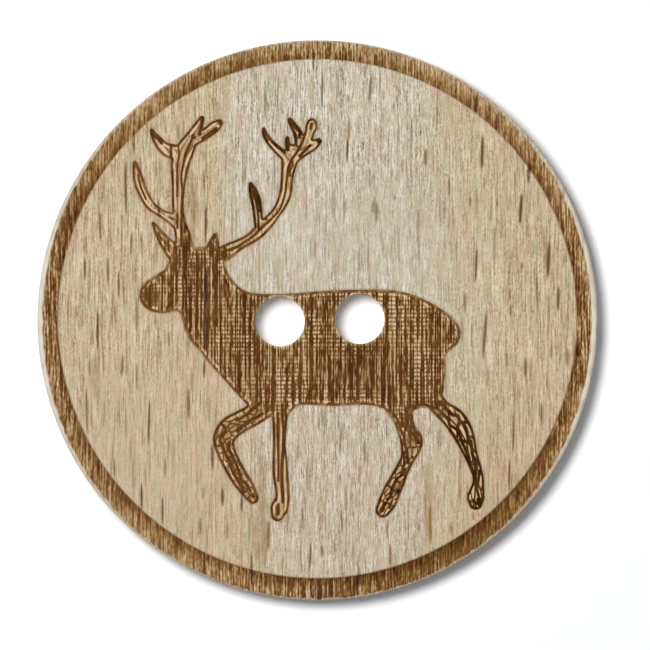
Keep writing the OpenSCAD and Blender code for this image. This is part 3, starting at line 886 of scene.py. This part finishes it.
# %% Attributes
NUMBERS = {"inset": inset, "stroke": stroke, "limb": limb, "line": line, "carve": np.concatenate(carve)}
NUMBERS.update({"fleck": fleck, "rust": rust, "char": char, "lip": lip})
for name, values in NUMBERS.items():
    attribute = mesh.attributes.new(name, "FLOAT", "POINT")
    attribute.data.foreach_set("value", values.astype(np.float32))
attribute = mesh.attributes.new("limb_place", "FLOAT_VECTOR", "POINT")
attribute.data.foreach_set("vector", limb_place.astype(np.float32).ravel())
print("attributes", list(NUMBERS) + ["limb_place"])

# %% [markdown]
# A hot tip took away a little wood wherever it went: deepest along the outline, shallower in the shading,
# with a ridge left between one pass and the next and deeper furrows where the soft grain burnt faster. That
# is a rule, so Geometry Nodes carve it: the depth at each vertex is worked out from its attributes and its
# place, and the vertex sinks by that much. The depths are the tree's named inputs, so a deeper or lighter
# burn is one number away.

# %% Inputs of the carving tree
carving = bpy.data.node_groups.new("burnt relief", "GeometryNodeTree")
carving.interface.new_socket("Geometry", in_out="OUTPUT", socket_type="NodeSocketGeometry")
carving.interface.new_socket("Geometry", in_out="INPUT", socket_type="NodeSocketGeometry")
CARVING_SIZES = {
    "Shade depth": 0.08,
    "Outline depth": 0.03,
    "Outline width": 0.1,
    "Stroke depth": 0.03,
    "Ring inside": RING_IN,
    "Ring outside": RING_OUT,
    "Ring depth": 0.09,
    "Ring up": RING_UP,
    "Furrow depth": 0.03,
    "Pass pitch": 0.21,
    "Pass depth": 0.01,
    "Grain seed": 7.0,
}
for name in CARVING_SIZES:
    carving.interface.new_socket(name, in_out="INPUT", socket_type="NodeSocketFloat")
carving.interface.new_socket("Wood", in_out="INPUT", socket_type="NodeSocketMaterial")
group_in = carving.nodes.new("NodeGroupInput").outputs
sizes = {name: group_in[name] for name in CARVING_SIZES}
print("carving inputs", len(CARVING_SIZES))

# %% Where each vertex is
position = add(carving, "GeometryNodeInputPosition")
in_mm = add(carving, VECTOR, {0: position, 3: 1 / MM}, operation="SCALE")
flat_mm = add(carving, VECTOR, {0: in_mm, 1: (1, 1, 0)}, **TIMES)
from_middle = add(carving, VECTOR, {0: flat_mm}, out="Value", operation="LENGTH")
ring_up = add(carving, COMBINE, {"Y": sizes["Ring up"]})
from_ring = add(carving, VECTOR, {0: flat_mm, 1: ring_up}, out="Value", operation="DISTANCE")
up_grain = add(carving, SEPARATE, {0: in_mm}, out="Y")
known = {}
for name in ("inset", "stroke", "carve"):
    known[name] = add(carving, "GeometryNodeInputNamedAttribute", {"Name": name}, data_type="FLOAT")
print("carving reads", list(known))

# %% Depth of the stag
SOFT = 0.1                    # the sides of a burnt groove are rounded
ENTRY = -0.03                 # the burn starts a little outside the outline


def summed(tree, start, parts):
    """A start value plus several parts, each times its weight."""
    for part, weight in parts:
        start = add(tree, MATH, {0: part, 1: weight, 2: start}, **TIMES_PLUS)
    return start


entry = add(carving, RANGE, {"Value": known["inset"], "From Min": ENTRY, "From Max": SOFT}, **SMOOTH)
line_end = add(carving, MATH, {0: sizes["Outline width"], 1: SOFT}, **PLUS)
on_line = {"Value": known["inset"], "From Min": line_end, "From Max": sizes["Outline width"]}
on_line = add(carving, RANGE, on_line, **SMOOTH)
on_stroke = add(carving, RANGE, {"Value": known["stroke"], "From Min": SOFT, "From Max": 0.0}, **SMOOTH)
cuts = [(on_line, sizes["Outline depth"]), (on_stroke, sizes["Stroke depth"])]
depth = summed(carving, sizes["Shade depth"], cuts)
stag_depth = add(carving, MATH, {0: depth, 1: entry}, **TIMES)
print("stag depth ready")

# %% Depth of the ring
RING_FADE = 0.25              # the ring gets shallow towards the rim
inner_end = add(carving, MATH, {0: sizes["Ring inside"], 1: SOFT}, **PLUS)
outer_start = add(carving, MATH, {0: sizes["Ring outside"], 1: RING_FADE}, **MINUS)
past_in = {"Value": from_ring, "From Min": sizes["Ring inside"], "From Max": inner_end}
past_in = add(carving, RANGE, past_in, **SMOOTH)
before_out = {"Value": from_middle, "From Min": sizes["Ring outside"], "From Max": outer_start}
before_out = add(carving, RANGE, before_out, **SMOOTH)
in_ring = add(carving, MATH, {0: past_in, 1: before_out}, **TIMES)
ring_depth = add(carving, MATH, {0: in_ring, 1: sizes["Ring depth"]}, **TIMES)
print("ring depth ready")

# %% Furrows along the grain and the passes of the tip
FURROW = (1 / 0.18, 1 / 5, 1 / 5)    # furrows are 0.18 mm wide and 5 mm long
stretched = add(carving, VECTOR, {0: in_mm, 1: FURROW}, **TIMES)
furrow = {"Vector": stretched, "W": sizes["Grain seed"], "Scale": 1.0, "Detail": 1.0}
furrow = add(carving, NOISE, furrow, noise_dimensions="4D")
furrow = add(carving, RANGE, {"Value": furrow, "From Min": 0.3, "From Max": 0.7})
furrow = add(carving, MATH, {0: furrow, 1: sizes["Furrow depth"]}, **TIMES)
turn = add(carving, MATH, {0: up_grain, 1: sizes["Pass pitch"]}, **OVER)
turn = add(carving, MATH, {0: turn, 1: 2 * math.pi}, **TIMES)
wave = add(carving, MATH, {0: turn}, operation="SINE")
rough = add(carving, MATH, {0: wave, 1: sizes["Pass depth"], 2: furrow}, **TIMES_PLUS)
burnt = add(carving, MATH, {0: entry, 1: in_ring}, **LARGER)
rough = add(carving, MATH, {0: rough, 1: burnt}, **TIMES)
print("furrows ready")

# %% Sink the surface
depth = add(carving, MATH, {0: stag_depth, 1: ring_depth}, **PLUS)
depth = add(carving, MATH, {0: depth, 1: rough}, **PLUS)
depth = add(carving, MATH, {0: depth, 1: 0.0}, **LARGER)
depth = add(carving, MATH, {0: depth, 1: known["carve"]}, **TIMES)
down = add(carving, MATH, {0: depth, 1: -MM}, **TIMES)
offset = add(carving, COMBINE, {"Z": down})
sunk = add(carving, "GeometryNodeSetPosition", {"Geometry": group_in["Geometry"], "Offset": offset})
real = add(carving, "GeometryNodeRealizeInstances", {"Geometry": sunk})
dressed = add(carving, "GeometryNodeSetMaterial", {"Geometry": real, "Material": group_in["Wood"]})
add(carving, "NodeGroupOutput", {"Geometry": dressed})
print("carving tree", len(carving.nodes), "nodes")

# %% [markdown]
# The wood is beech, turned and sanded and left bare. Bare beech is pale and matte. The eye sees fine upright
# fibres, broad bands that are more golden or more grey, and short brown flecks. The pattern is a solid one,
# read from Object coordinates: each noise is squeezed across the grain and drawn out along it, so the side
# and the back of the button show the same wood as its face. Real fibres are 0.02 mm wide. They are drawn as
# coarse as they need to show, about 0.1 mm from one to the next.

# %% A noise with the shape of the grain
beech = bpy.data.materials.new("beech, sanded bare and burnt")
beech.use_nodes = True
wood = beech.node_tree
wood.nodes.clear()
solid = add(wood, "ShaderNodeTexCoord", out="Object")
DEEP = 6                      # streaks reach this many times as deep as they are wide
SHIFT = (13.7, 5.3, 3.1)      # each seed reads another part of the noise


def grain(across, along, seed, start=None, low=0.3, high=0.7, deep=DEEP):
    """A noise from 0 to 1 whose streaks are so many millimetres wide and long."""
    size = (1 / across / MM, 1 / along / MM, 1 / (deep * across) / MM)
    shift = tuple(step * seed for step in SHIFT)
    there = add(wood, VECTOR, {0: start or solid, 1: size, 2: shift}, **TIMES_PLUS)
    noise = add(wood, NOISE, {"Vector": there, "Scale": 1.0, "Detail": 0.0})
    return add(wood, RANGE, {"Value": noise, "From Min": low, "From Max": high})


print("grain ready")

# %% Where the point is
mm_place = add(wood, VECTOR, {0: solid, 3: 1 / MM}, operation="SCALE")
x_mm = add(wood, SEPARATE, {0: mm_place}, out="X")
y_mm = add(wood, SEPARATE, {0: mm_place}, out="Y")
level_mm = add(wood, VECTOR, {0: mm_place, 1: (1, 1, 0)}, **TIMES)
r_mm = add(wood, VECTOR, {0: level_mm}, out="Value", operation="LENGTH")
ring_r_mm = add(wood, VECTOR, {0: level_mm, 1: (0, RING_UP, 0)}, out="Value", operation="DISTANCE")
read = {}
for name in NUMBERS:
    read[name] = add(wood, "ShaderNodeAttribute", out="Fac", attribute_name=name)
limb_at = add(wood, "ShaderNodeAttribute", out="Vector", attribute_name="limb_place")
print("places and", len(read) + 1, "attributes read")

# %% Bare wood: broad bands
AXIS = 0.8                    # the grey band runs a little right of the middle
SWAY = 4.0                    # its edges wander by this much
GREY_TO = 4.0                 # this far from the axis, the grey begins to turn golden
GOLDEN_FROM = 10.0
sway = grain(5.0, 24.0, 1)
from_axis = add(wood, MATH, {0: x_mm, 1: AXIS}, **MINUS)
from_axis = add(wood, MATH, {0: from_axis}, **UNSIGNED)
swayed = add(wood, MATH, {0: sway, 1: SWAY, 2: from_axis}, **TIMES_PLUS)
golden = add(wood, RANGE, {"Value": swayed, "From Min": GREY_TO, "From Max": GOLDEN_FROM}, **SMOOTH)
print("bands from golden to grey")

# %% Bare wood: fibres
RIPPLE = 0.1 * MM             # in the grey band, the fibres wander this far to either side
CALM_AT = 4.0                 # the grey band is calmest here, just above the stag's back
CALM_ENDS = (1.0, 5.0)        # and gets livelier between these distances
CALMEST = 0.6
ripple = grain(0.9, 0.7, 21, low=0.0, high=1.0)
ripple = add(wood, MATH, {0: ripple, 1: 0.5}, **MINUS)
ripple = add(wood, MATH, {0: ripple, 1: RIPPLE}, **TIMES)
ripple = add(wood, COMBINE, {"X": ripple})
rippled = add(wood, VECTOR, {0: solid, 1: ripple}, **PLUS)
golden_long = grain(0.065, 3.0, 3)
golden_short = grain(0.055, 0.7, 4)
grey_long = grain(0.045, 2.5, 5, start=rippled)
grey_short = grain(0.045, 0.6, 6, start=rippled)
pore = grain(0.045, 0.13, 24)
golden_shade = summed(wood, 0.0, [(golden_long, 0.32), (golden_short, 0.36), (pore, 0.32)])
grey_shade = summed(wood, -0.14, [(grey_long, 0.38), (grey_short, 0.5), (pore, 0.4)])
from_calm = add(wood, MATH, {0: y_mm, 1: CALM_AT}, **MINUS)
from_calm = add(wood, MATH, {0: from_calm}, **UNSIGNED)
lively = {"Value": from_calm, "From Min": CALM_ENDS[0], "From Max": CALM_ENDS[1], "To Min": CALMEST}
lively = add(wood, RANGE, lively, **SMOOTH)
grey_shade = add(wood, MIX, {"Factor": lively, 2: 0.5, 3: grey_shade})
shade = add(wood, MIX, {"Factor": golden, 2: grey_shade, 3: golden_shade})
shade = summed(wood, shade, [(grain(0.25, 4.0, 7), 0.07), (grain(0.8, 9.0, 2), 0.05)])
shade = add(wood, MATH, {0: shade, 1: 0.06}, **MINUS)
print("fibres 0.1 mm, streaks 0.25 mm, bands 0.8 mm")

# %% Bare wood: colours
GOLDEN_BEECH = [(0.0, "#7A6141"), (0.25, "#AB926E"), (0.5, "#CBB592"), (0.75, "#DDCAAA"), (1.0, "#EADBC0")]
GREY_BEECH = [(0.0, "#837059"), (0.25, "#B1A18B"), (0.5, "#CEC3AF"), (0.75, "#E2DAC9"), (1.0, "#F4EFE4")]
golden_colour = add(wood, "ShaderNodeValToRGB", {"Fac": shade}, steps=GOLDEN_BEECH)
grey_colour = add(wood, "ShaderNodeValToRGB", {"Fac": shade}, steps=GREY_BEECH)
tone = add(wood, MIX, {"Factor": golden, 6: grey_colour, 7: golden_colour}, **COLOUR)
print("golden", len(GOLDEN_BEECH), "and grey", len(GREY_BEECH), "steps")

# %% Bare wood: blush, moss, rust, flecks, and a painted highlight on the rim
# Paler rim at left and right: partly sanded bare wood, partly a painted highlight on the rounded edge.
PALE_RIM_IN = 0.1                 # the pale edge starts this far inside the end of the ring
lower = add(wood, RANGE, {"Value": y_mm, "From Min": 2.0, "From Max": -10.0}, **SMOOTH)
east = add(wood, MATH, {0: x_mm, 1: r_mm}, **OVER)
side_grain = add(wood, MATH, {0: east, 1: east}, **TIMES)
rim_highlight_and_sanding = add(wood, RANGE, {"Value": r_mm, "From Min": RING_OUT - PALE_RIM_IN, "From Max": RIM_R}, **SMOOTH)
rim_highlight_and_sanding = add(wood, MATH, {0: rim_highlight_and_sanding, 1: side_grain}, **TIMES)
rim_highlight_and_sanding = add(wood, MATH, {0: rim_highlight_and_sanding, 1: side_grain}, **TIMES)
west = add(wood, RANGE, {"Value": x_mm, "From Min": -3.0, "From Max": -8.0}, **SMOOTH)
low_west = add(wood, MATH, {0: lower, 1: west}, **TIMES)
TINTS = [
    (lower, 0.25, "#C9A685"),
    (low_west, 0.35, "#CBBEAA"),
    # the rim: sanded bare wood with a painted highlight on its rounded edge
    (rim_highlight_and_sanding, 0.8, "#F1E9DC"),
    (grain(0.35, 0.9, 8, low=0.5, high=0.8, deep=1.5), 0.4, "#CDA78F"),
    (grain(0.4, 1.0, 9, low=0.5, high=0.8, deep=1.5), 0.5, "#B9B48A"),
    (read["rust"], 0.95, "#8A6428"),
    (grain(0.11, 2.0, 10, low=0.68, high=0.78), 0.45, "#7A5A3A"),
    (read["fleck"], 1.0, "#603F13"),
]


def tinted(colour, tints):
    """A colour with others laid over it, each by its noise times its weight."""
    for noise, weight, over in tints:
        share = add(wood, MATH, {0: noise, 1: weight}, **TIMES)
        colour = add(wood, MIX, {"Factor": share, 6: colour, 7: linear(over)}, **COLOUR)
    return colour


tone = tinted(tone, TINTS)
print("tints", [over for noise, weight, over in TINTS])

# %% [markdown]
# Burnt beech goes from a toasted tan through brown to nearly black, and it stays matte. The colour follows
# a single number, the burn, from 0, just toasted, to 1, charred. Soft and hard grain take the heat
# differently, so the burn is striped along the grain by thin pale threads, and the tip's passes cross them
# every 0.21 mm and break them into beads. Together they give the woven look of the body.

# %% The burn inside the body
PASS_PITCH = CARVING_SIZES["Pass pitch"]
column = grain(0.078, 4.0, 11)
broken = grain(0.078, 0.35, 12)
wide_column = grain(0.4, 8.0, 13)
pass_share = grain(1.8, 1.4, 14, low=0.25, high=0.6)
turn = add(wood, MATH, {0: y_mm, 1: 2 * math.pi / PASS_PITCH, 2: column}, **TIMES_PLUS)
wave = add(wood, MATH, {0: turn}, operation="SINE")
wave = add(wood, MATH, {0: wave, 1: pass_share}, **TIMES)
thread = summed(wood, -0.05, [(broken, 0.4), (column, 0.7)])
thread = add(wood, RANGE, {"Value": thread, "From Min": 0.2, "From Max": 0.9}, **SMOOTH)
bead = add(wood, MATH, {0: wave, 1: 0.4, 2: 0.75}, **TIMES_PLUS)
thread = add(wood, MATH, {0: thread, 1: bead}, **TIMES)
plaid = summed(wood, 0.78, [(thread, -0.95), (wide_column, 0.14), (wave, 0.08)])
print("threads 0.1 mm wide, passes every", PASS_PITCH, "mm")

# %% The burn inside the limbs
NET_W = 0.25                  # the cells of the net are so wide
NET_LEAST = 0.05              # a limb whose cells are shorter has no net
NET_EDGE = (0.06, 0.21)       # a line of the net ends between these shares of a cell
STREAK = (0.15, 2.0)          # width and length
limb_along = add(wood, SEPARATE, {0: limb_at}, out="X")
limb_aside = add(wood, SEPARATE, {0: limb_at}, out="Y")
net_long = add(wood, SEPARATE, {0: limb_at}, out="Z")
has_net = add(wood, MATH, {0: net_long, 1: NET_LEAST}, operation="GREATER_THAN")
limb_flat = add(wood, COMBINE, {"X": limb_aside, "Y": limb_along})
cell_across = add(wood, MATH, {0: limb_aside, 1: NET_W}, **OVER)
cell_along = add(wood, MATH, {0: limb_along, 1: net_long}, **OVER)
cells = add(wood, COMBINE, {"X": cell_across, "Y": cell_along})
to_edge = {"Vector": cells, "Scale": 1.0, "Randomness": 0.8}
to_edge = add(wood, "ShaderNodeTexVoronoi", to_edge, feature="DISTANCE_TO_EDGE", voronoi_dimensions="2D")
# The darker the lines of the net, the paler its cells.
cell_burn = add(wood, MATH, {0: read["line"], 1: -0.83, 2: 0.85}, **TIMES_PLUS)
net_burn = {"Value": to_edge, "From Min": NET_EDGE[0], "From Max": NET_EDGE[1]}
net_burn.update({"To Min": read["line"], "To Max": cell_burn})
net_burn = add(wood, RANGE, net_burn, **SMOOTH)
streaks = add(wood, VECTOR, {0: limb_flat, 1: (1 / STREAK[0], 1 / STREAK[1], 0)}, **TIMES)
streaks = add(wood, NOISE, {"Vector": streaks, "Scale": 1.0, "Detail": 0.0})
streak_burn = {"Value": streaks, "From Min": 0.35, "From Max": 0.65, "To Min": 0.0, "To Max": 0.5}
streak_burn = add(wood, RANGE, streak_burn)
limb_burn = add(wood, MIX, {"Factor": has_net, 2: streak_burn, 3: net_burn})
shaded = add(wood, MIX, {"Factor": read["limb"], 2: plaid, 3: limb_burn})
print("net cells", NET_W, "mm wide and streaks", STREAK, "mm")

# %% The burn of the lines
LINE_W = (0.08, 0.085)        # of the outline round the body, and round the limbs
LINE_SOFT = 0.045
STROKE_LEAST = 0.74           # no stroke is paler than this
wander = grain(0.25, 0.4, 15)
line_burn = add(wood, MATH, {0: wander, 1: 0.3, 2: -0.15}, **TIMES_PLUS)
line_burn = add(wood, MATH, {0: line_burn, 1: read["line"]}, **PLUS)
line_w = add(wood, RANGE, {"Value": read["limb"], "To Min": LINE_W[0], "To Max": LINE_W[1]})
line_far = add(wood, MATH, {0: line_w, 1: LINE_SOFT}, **PLUS)
gap_in = add(wood, RANGE, {"Value": read["inset"], "From Min": 0.12, "From Max": 0.17}, **SMOOTH)
gap_out = add(wood, RANGE, {"Value": read["inset"], "From Min": 0.27, "From Max": 0.2}, **SMOOTH)
gap = add(wood, MATH, {0: gap_in, 1: gap_out}, **TIMES)
gap = add(wood, MATH, {0: gap, 1: broken}, **TIMES)
shaded = add(wood, MATH, {0: gap, 1: -0.5, 2: shaded}, **TIMES_PLUS)
off_line = add(wood, RANGE, {"Value": read["inset"], "From Min": line_w, "From Max": line_far}, **SMOOTH)
stag_burn = add(wood, MIX, {"Factor": off_line, 2: line_burn, 3: shaded})
on_stroke = add(wood, RANGE, {"Value": read["stroke"], "From Min": LINE_SOFT, "From Max": -0.01}, **SMOOTH)
stroke_burn = add(wood, MATH, {0: line_burn, 1: 0.05}, **PLUS)
stroke_burn = add(wood, MATH, {0: stroke_burn, 1: STROKE_LEAST}, **LARGER)
stag_burn = add(wood, MIX, {"Factor": on_stroke, 2: stag_burn, 3: stroke_burn})
print("lines", LINE_W, "mm wide, with soft sides of", LINE_SOFT, "mm")

# %% The burn of the ring
ring_column = grain(0.078, 1.2, 16)
ring_broken = grain(0.078, 0.25, 17)
ring_wide = grain(0.3, 3.0, 18)
north = add(wood, MATH, {0: y_mm, 1: r_mm}, **OVER)
slant = add(wood, MATH, {0: north, 1: east}, **TIMES)
inner_edge = {"Value": ring_r_mm, "From Min": RING_IN + 0.75, "From Max": RING_IN + 0.08}
inner_edge = add(wood, RANGE, inner_edge, **SMOOTH)
askew = add(wood, MATH, {0: slant}, **UNSIGNED)
striped = summed(wood, 0.85, [(askew, -0.75), (side_grain, 0.15)])    # less where the tip ran aslant
fibre = summed(wood, -0.575, [(ring_broken, 0.4), (ring_column, 0.75)])
fibre = add(wood, MATH, {0: fibre, 1: striped}, **TIMES)
ring_parts = [(fibre, 0.95), (ring_wide, 0.06), (inner_edge, 0.22)]
ring_parts += [(north, -0.085), (slant, -0.14), (east, 0.025)]    # darkest at the lower right
# Where the tip hurried or lingered: each patch's angle from +X and spread, in degrees, and its burn.
RING_PATCHES = [(337, 32, -0.1), (247, 25, -0.065), (135, 20, -0.09), (152, 18, 0.08)]
way = add(wood, COMBINE, {"X": east, "Y": north})
for angle, spread, weight in RING_PATCHES:
    there = (math.cos(math.radians(angle)), math.sin(math.radians(angle)), 0)
    near = add(wood, VECTOR, {0: way, 1: there}, out="Value", operation="DOT_PRODUCT")
    near = {"Value": near, "From Min": math.cos(math.radians(spread)), "From Max": 1.0}
    ring_parts.append((add(wood, RANGE, near, **SMOOTH), weight))
ring_burn = summed(wood, 0.345, ring_parts)
print("ring ready")

# %% Where the ring ends
# The burn runs out over the rounded rim at the top and bottom, where the grain meets the rim end on.
RING_SHORT = 0.12             # elsewhere it stops this short of the ring's outer edge
RING_SOFT = 0.1
end_grain = add(wood, MATH, {0: north}, **UNSIGNED)
ragged = grain(0.15, 0.6, 19)
ring_end = summed(wood, RING_OUT - RING_SHORT, [(ragged, 0.06), (end_grain, 0.22), (east, -0.015)])
ring_gone = add(wood, MATH, {0: ring_end, 1: RING_SOFT}, **PLUS)
ring_start = {"Value": ring_r_mm, "From Min": RING_IN - 0.04, "From Max": RING_IN + 0.08}
ring_start = add(wood, RANGE, ring_start, **SMOOTH)
ring_stop = add(wood, RANGE, {"Value": r_mm, "From Min": ring_gone, "From Max": ring_end}, **SMOOTH)
in_ring = add(wood, MATH, {0: ring_start, 1: ring_stop}, **TIMES)
print("ring ends near", round(RING_OUT - RING_SHORT, 2))

# %% Burnt colours
CHAR_BURN = 0.75
CHAR_BLACK = 0.65             # a spot of char stronger than this turns black
BURN_STEPS = [(0.0, "#DCC39C"), (0.25, "#B29064"), (0.5, "#815B2F"), (0.75, "#5A3712"), (1.0, "#341A02")]
burn = add(wood, MIX, {"Factor": in_ring, 2: stag_burn, 3: ring_burn})
burn = add(wood, MIX, {"Factor": read["char"], 2: burn, 3: CHAR_BURN})
burn = summed(wood, burn, [(read["fleck"], 0.35), (read["lip"], -0.35)])
burnt_colour = add(wood, "ShaderNodeValToRGB", {"Fac": burn}, steps=BURN_STEPS)
charred = add(wood, RANGE, {"Value": read["char"], "From Min": CHAR_BLACK, "From Max": 1.0})
BURNT_TINTS = [
    (grain(0.5, 0.8, 22, low=0.5, high=0.8), 0.3, "#7B4120"),
    (grain(0.5, 0.8, 23, low=0.5, high=0.8), 0.3, "#6A5524"),
    (read["fleck"], 0.45, "#4A3236"),
    (charred, 1.0, "#101218"),
]
burnt_colour = tinted(burnt_colour, BURNT_TINTS)
print("burnt colours", [colour for at, colour in BURN_STEPS])

# %% Wood and burn together
SCORCH = linear("#9A7650")
SCORCH_W = 0.14               # the bare wood beside the outline is browned this far
SCORCHED = 0.4
halo = {"Value": read["inset"], "From Min": -SCORCH_W, "From Max": 0.0, "To Max": SCORCHED}
halo = add(wood, RANGE, halo, **SMOOTH)
front_only = add(wood, RANGE, {"Value": read["carve"], "From Min": 0.7, "From Max": 1.0}, **SMOOTH)
halo = add(wood, MATH, {0: halo, 1: front_only}, **TIMES)
skin = add(wood, MIX, {"Factor": halo, 6: tone, 7: SCORCH}, **COLOUR)
normal = add(wood, "ShaderNodeNewGeometry", out="Normal")
upright = add(wood, SEPARATE, {0: normal}, out="Z")
facing_up = add(wood, RANGE, {"Value": upright, "From Min": 0.15, "From Max": 0.45}, **SMOOTH)
in_stag = add(wood, RANGE, {"Value": read["inset"], "From Min": ENTRY, "From Max": 0.02}, **SMOOTH)
stag_here = add(wood, MATH, {0: in_stag, 1: front_only}, **TIMES)
ring_here = add(wood, MATH, {0: in_ring, 1: facing_up}, **TIMES)
burnt_here = add(wood, MATH, {0: stag_here, 1: ring_here}, **LARGER)
skin = add(wood, MIX, {"Factor": burnt_here, 6: skin, 7: burnt_colour}, **COLOUR)
print("skin ready")

# %% [markdown]
# Sanded wood has no gloss of its own: its open fibres scatter the light, so the roughness is high and the
# specular level low, and burnt wood is rougher still. The fibres stand out by a hundredth of a millimetre.
# That is too little to model, so a bump gives it.

# %% The shader
SPECULAR = 0.12
WOOD_IOR = 1.53
ROUGH_BARE = 0.72
ROUGH_BURNT = 0.9
FIBRE_HEIGHT = 0.02 * MM
FIBRE_BUMP = 0.5
roughness = add(wood, RANGE, {"Value": burnt_here, "To Min": ROUGH_BARE, "To Max": ROUGH_BURNT})
roughness = add(wood, MATH, {0: shade, 1: 0.06, 2: roughness}, **TIMES_PLUS)
height = add(wood, MIX, {"Factor": burnt_here, 2: shade, 3: thread})
relief = {"Height": height, "Strength": FIBRE_BUMP, "Distance": FIBRE_HEIGHT}
relief = add(wood, "ShaderNodeBump", relief)
lit = add(wood, "ShaderNodeBsdfPrincipled", {
    "Base Color": skin,
    "Roughness": roughness,
    "Normal": relief,
    "Specular IOR Level": SPECULAR,
    "IOR": WOOD_IOR,
})
add(wood, "ShaderNodeOutputMaterial", {"Surface": lit})
print("beech", len(wood.nodes), "nodes")

# %% Carve the button
maker = blank.modifiers.new("burnt relief", "NODES")
maker.node_group = carving
for item in carving.interface.items_tree:
    if item.in_out == "INPUT" and item.name in CARVING_SIZES:
        maker[item.identifier] = CARVING_SIZES[item.name]
    elif item.in_out == "INPUT" and item.name == "Wood":
        maker[item.identifier] = beech
evaluated = blank.evaluated_get(bpy.context.evaluated_depsgraph_get())
button_mesh = bpy.data.meshes.new_from_object(evaluated)
button_mesh.name = "button"
button = bpy.data.objects.new("wooden_button", button_mesh)
bpy.context.scene.collection.objects.link(button)
bpy.data.objects.remove(blank)
print("carved", len(button_mesh.polygons), "faces, material", [m.name for m in button_mesh.materials])

# %% Smooth faces with crisp grooves
CRISP = math.radians(50)      # an edge that bends more than this stays sharp
button_mesh.polygons.foreach_set("use_smooth", np.ones(len(button_mesh.polygons), bool))
button_mesh.set_sharp_from_angle(angle=CRISP)
button_mesh.update()
print("triangles", sum(len(p.vertices) - 2 for p in button_mesh.polygons))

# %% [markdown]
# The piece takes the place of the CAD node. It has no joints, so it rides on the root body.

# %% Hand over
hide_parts("button")
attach(button, "root")
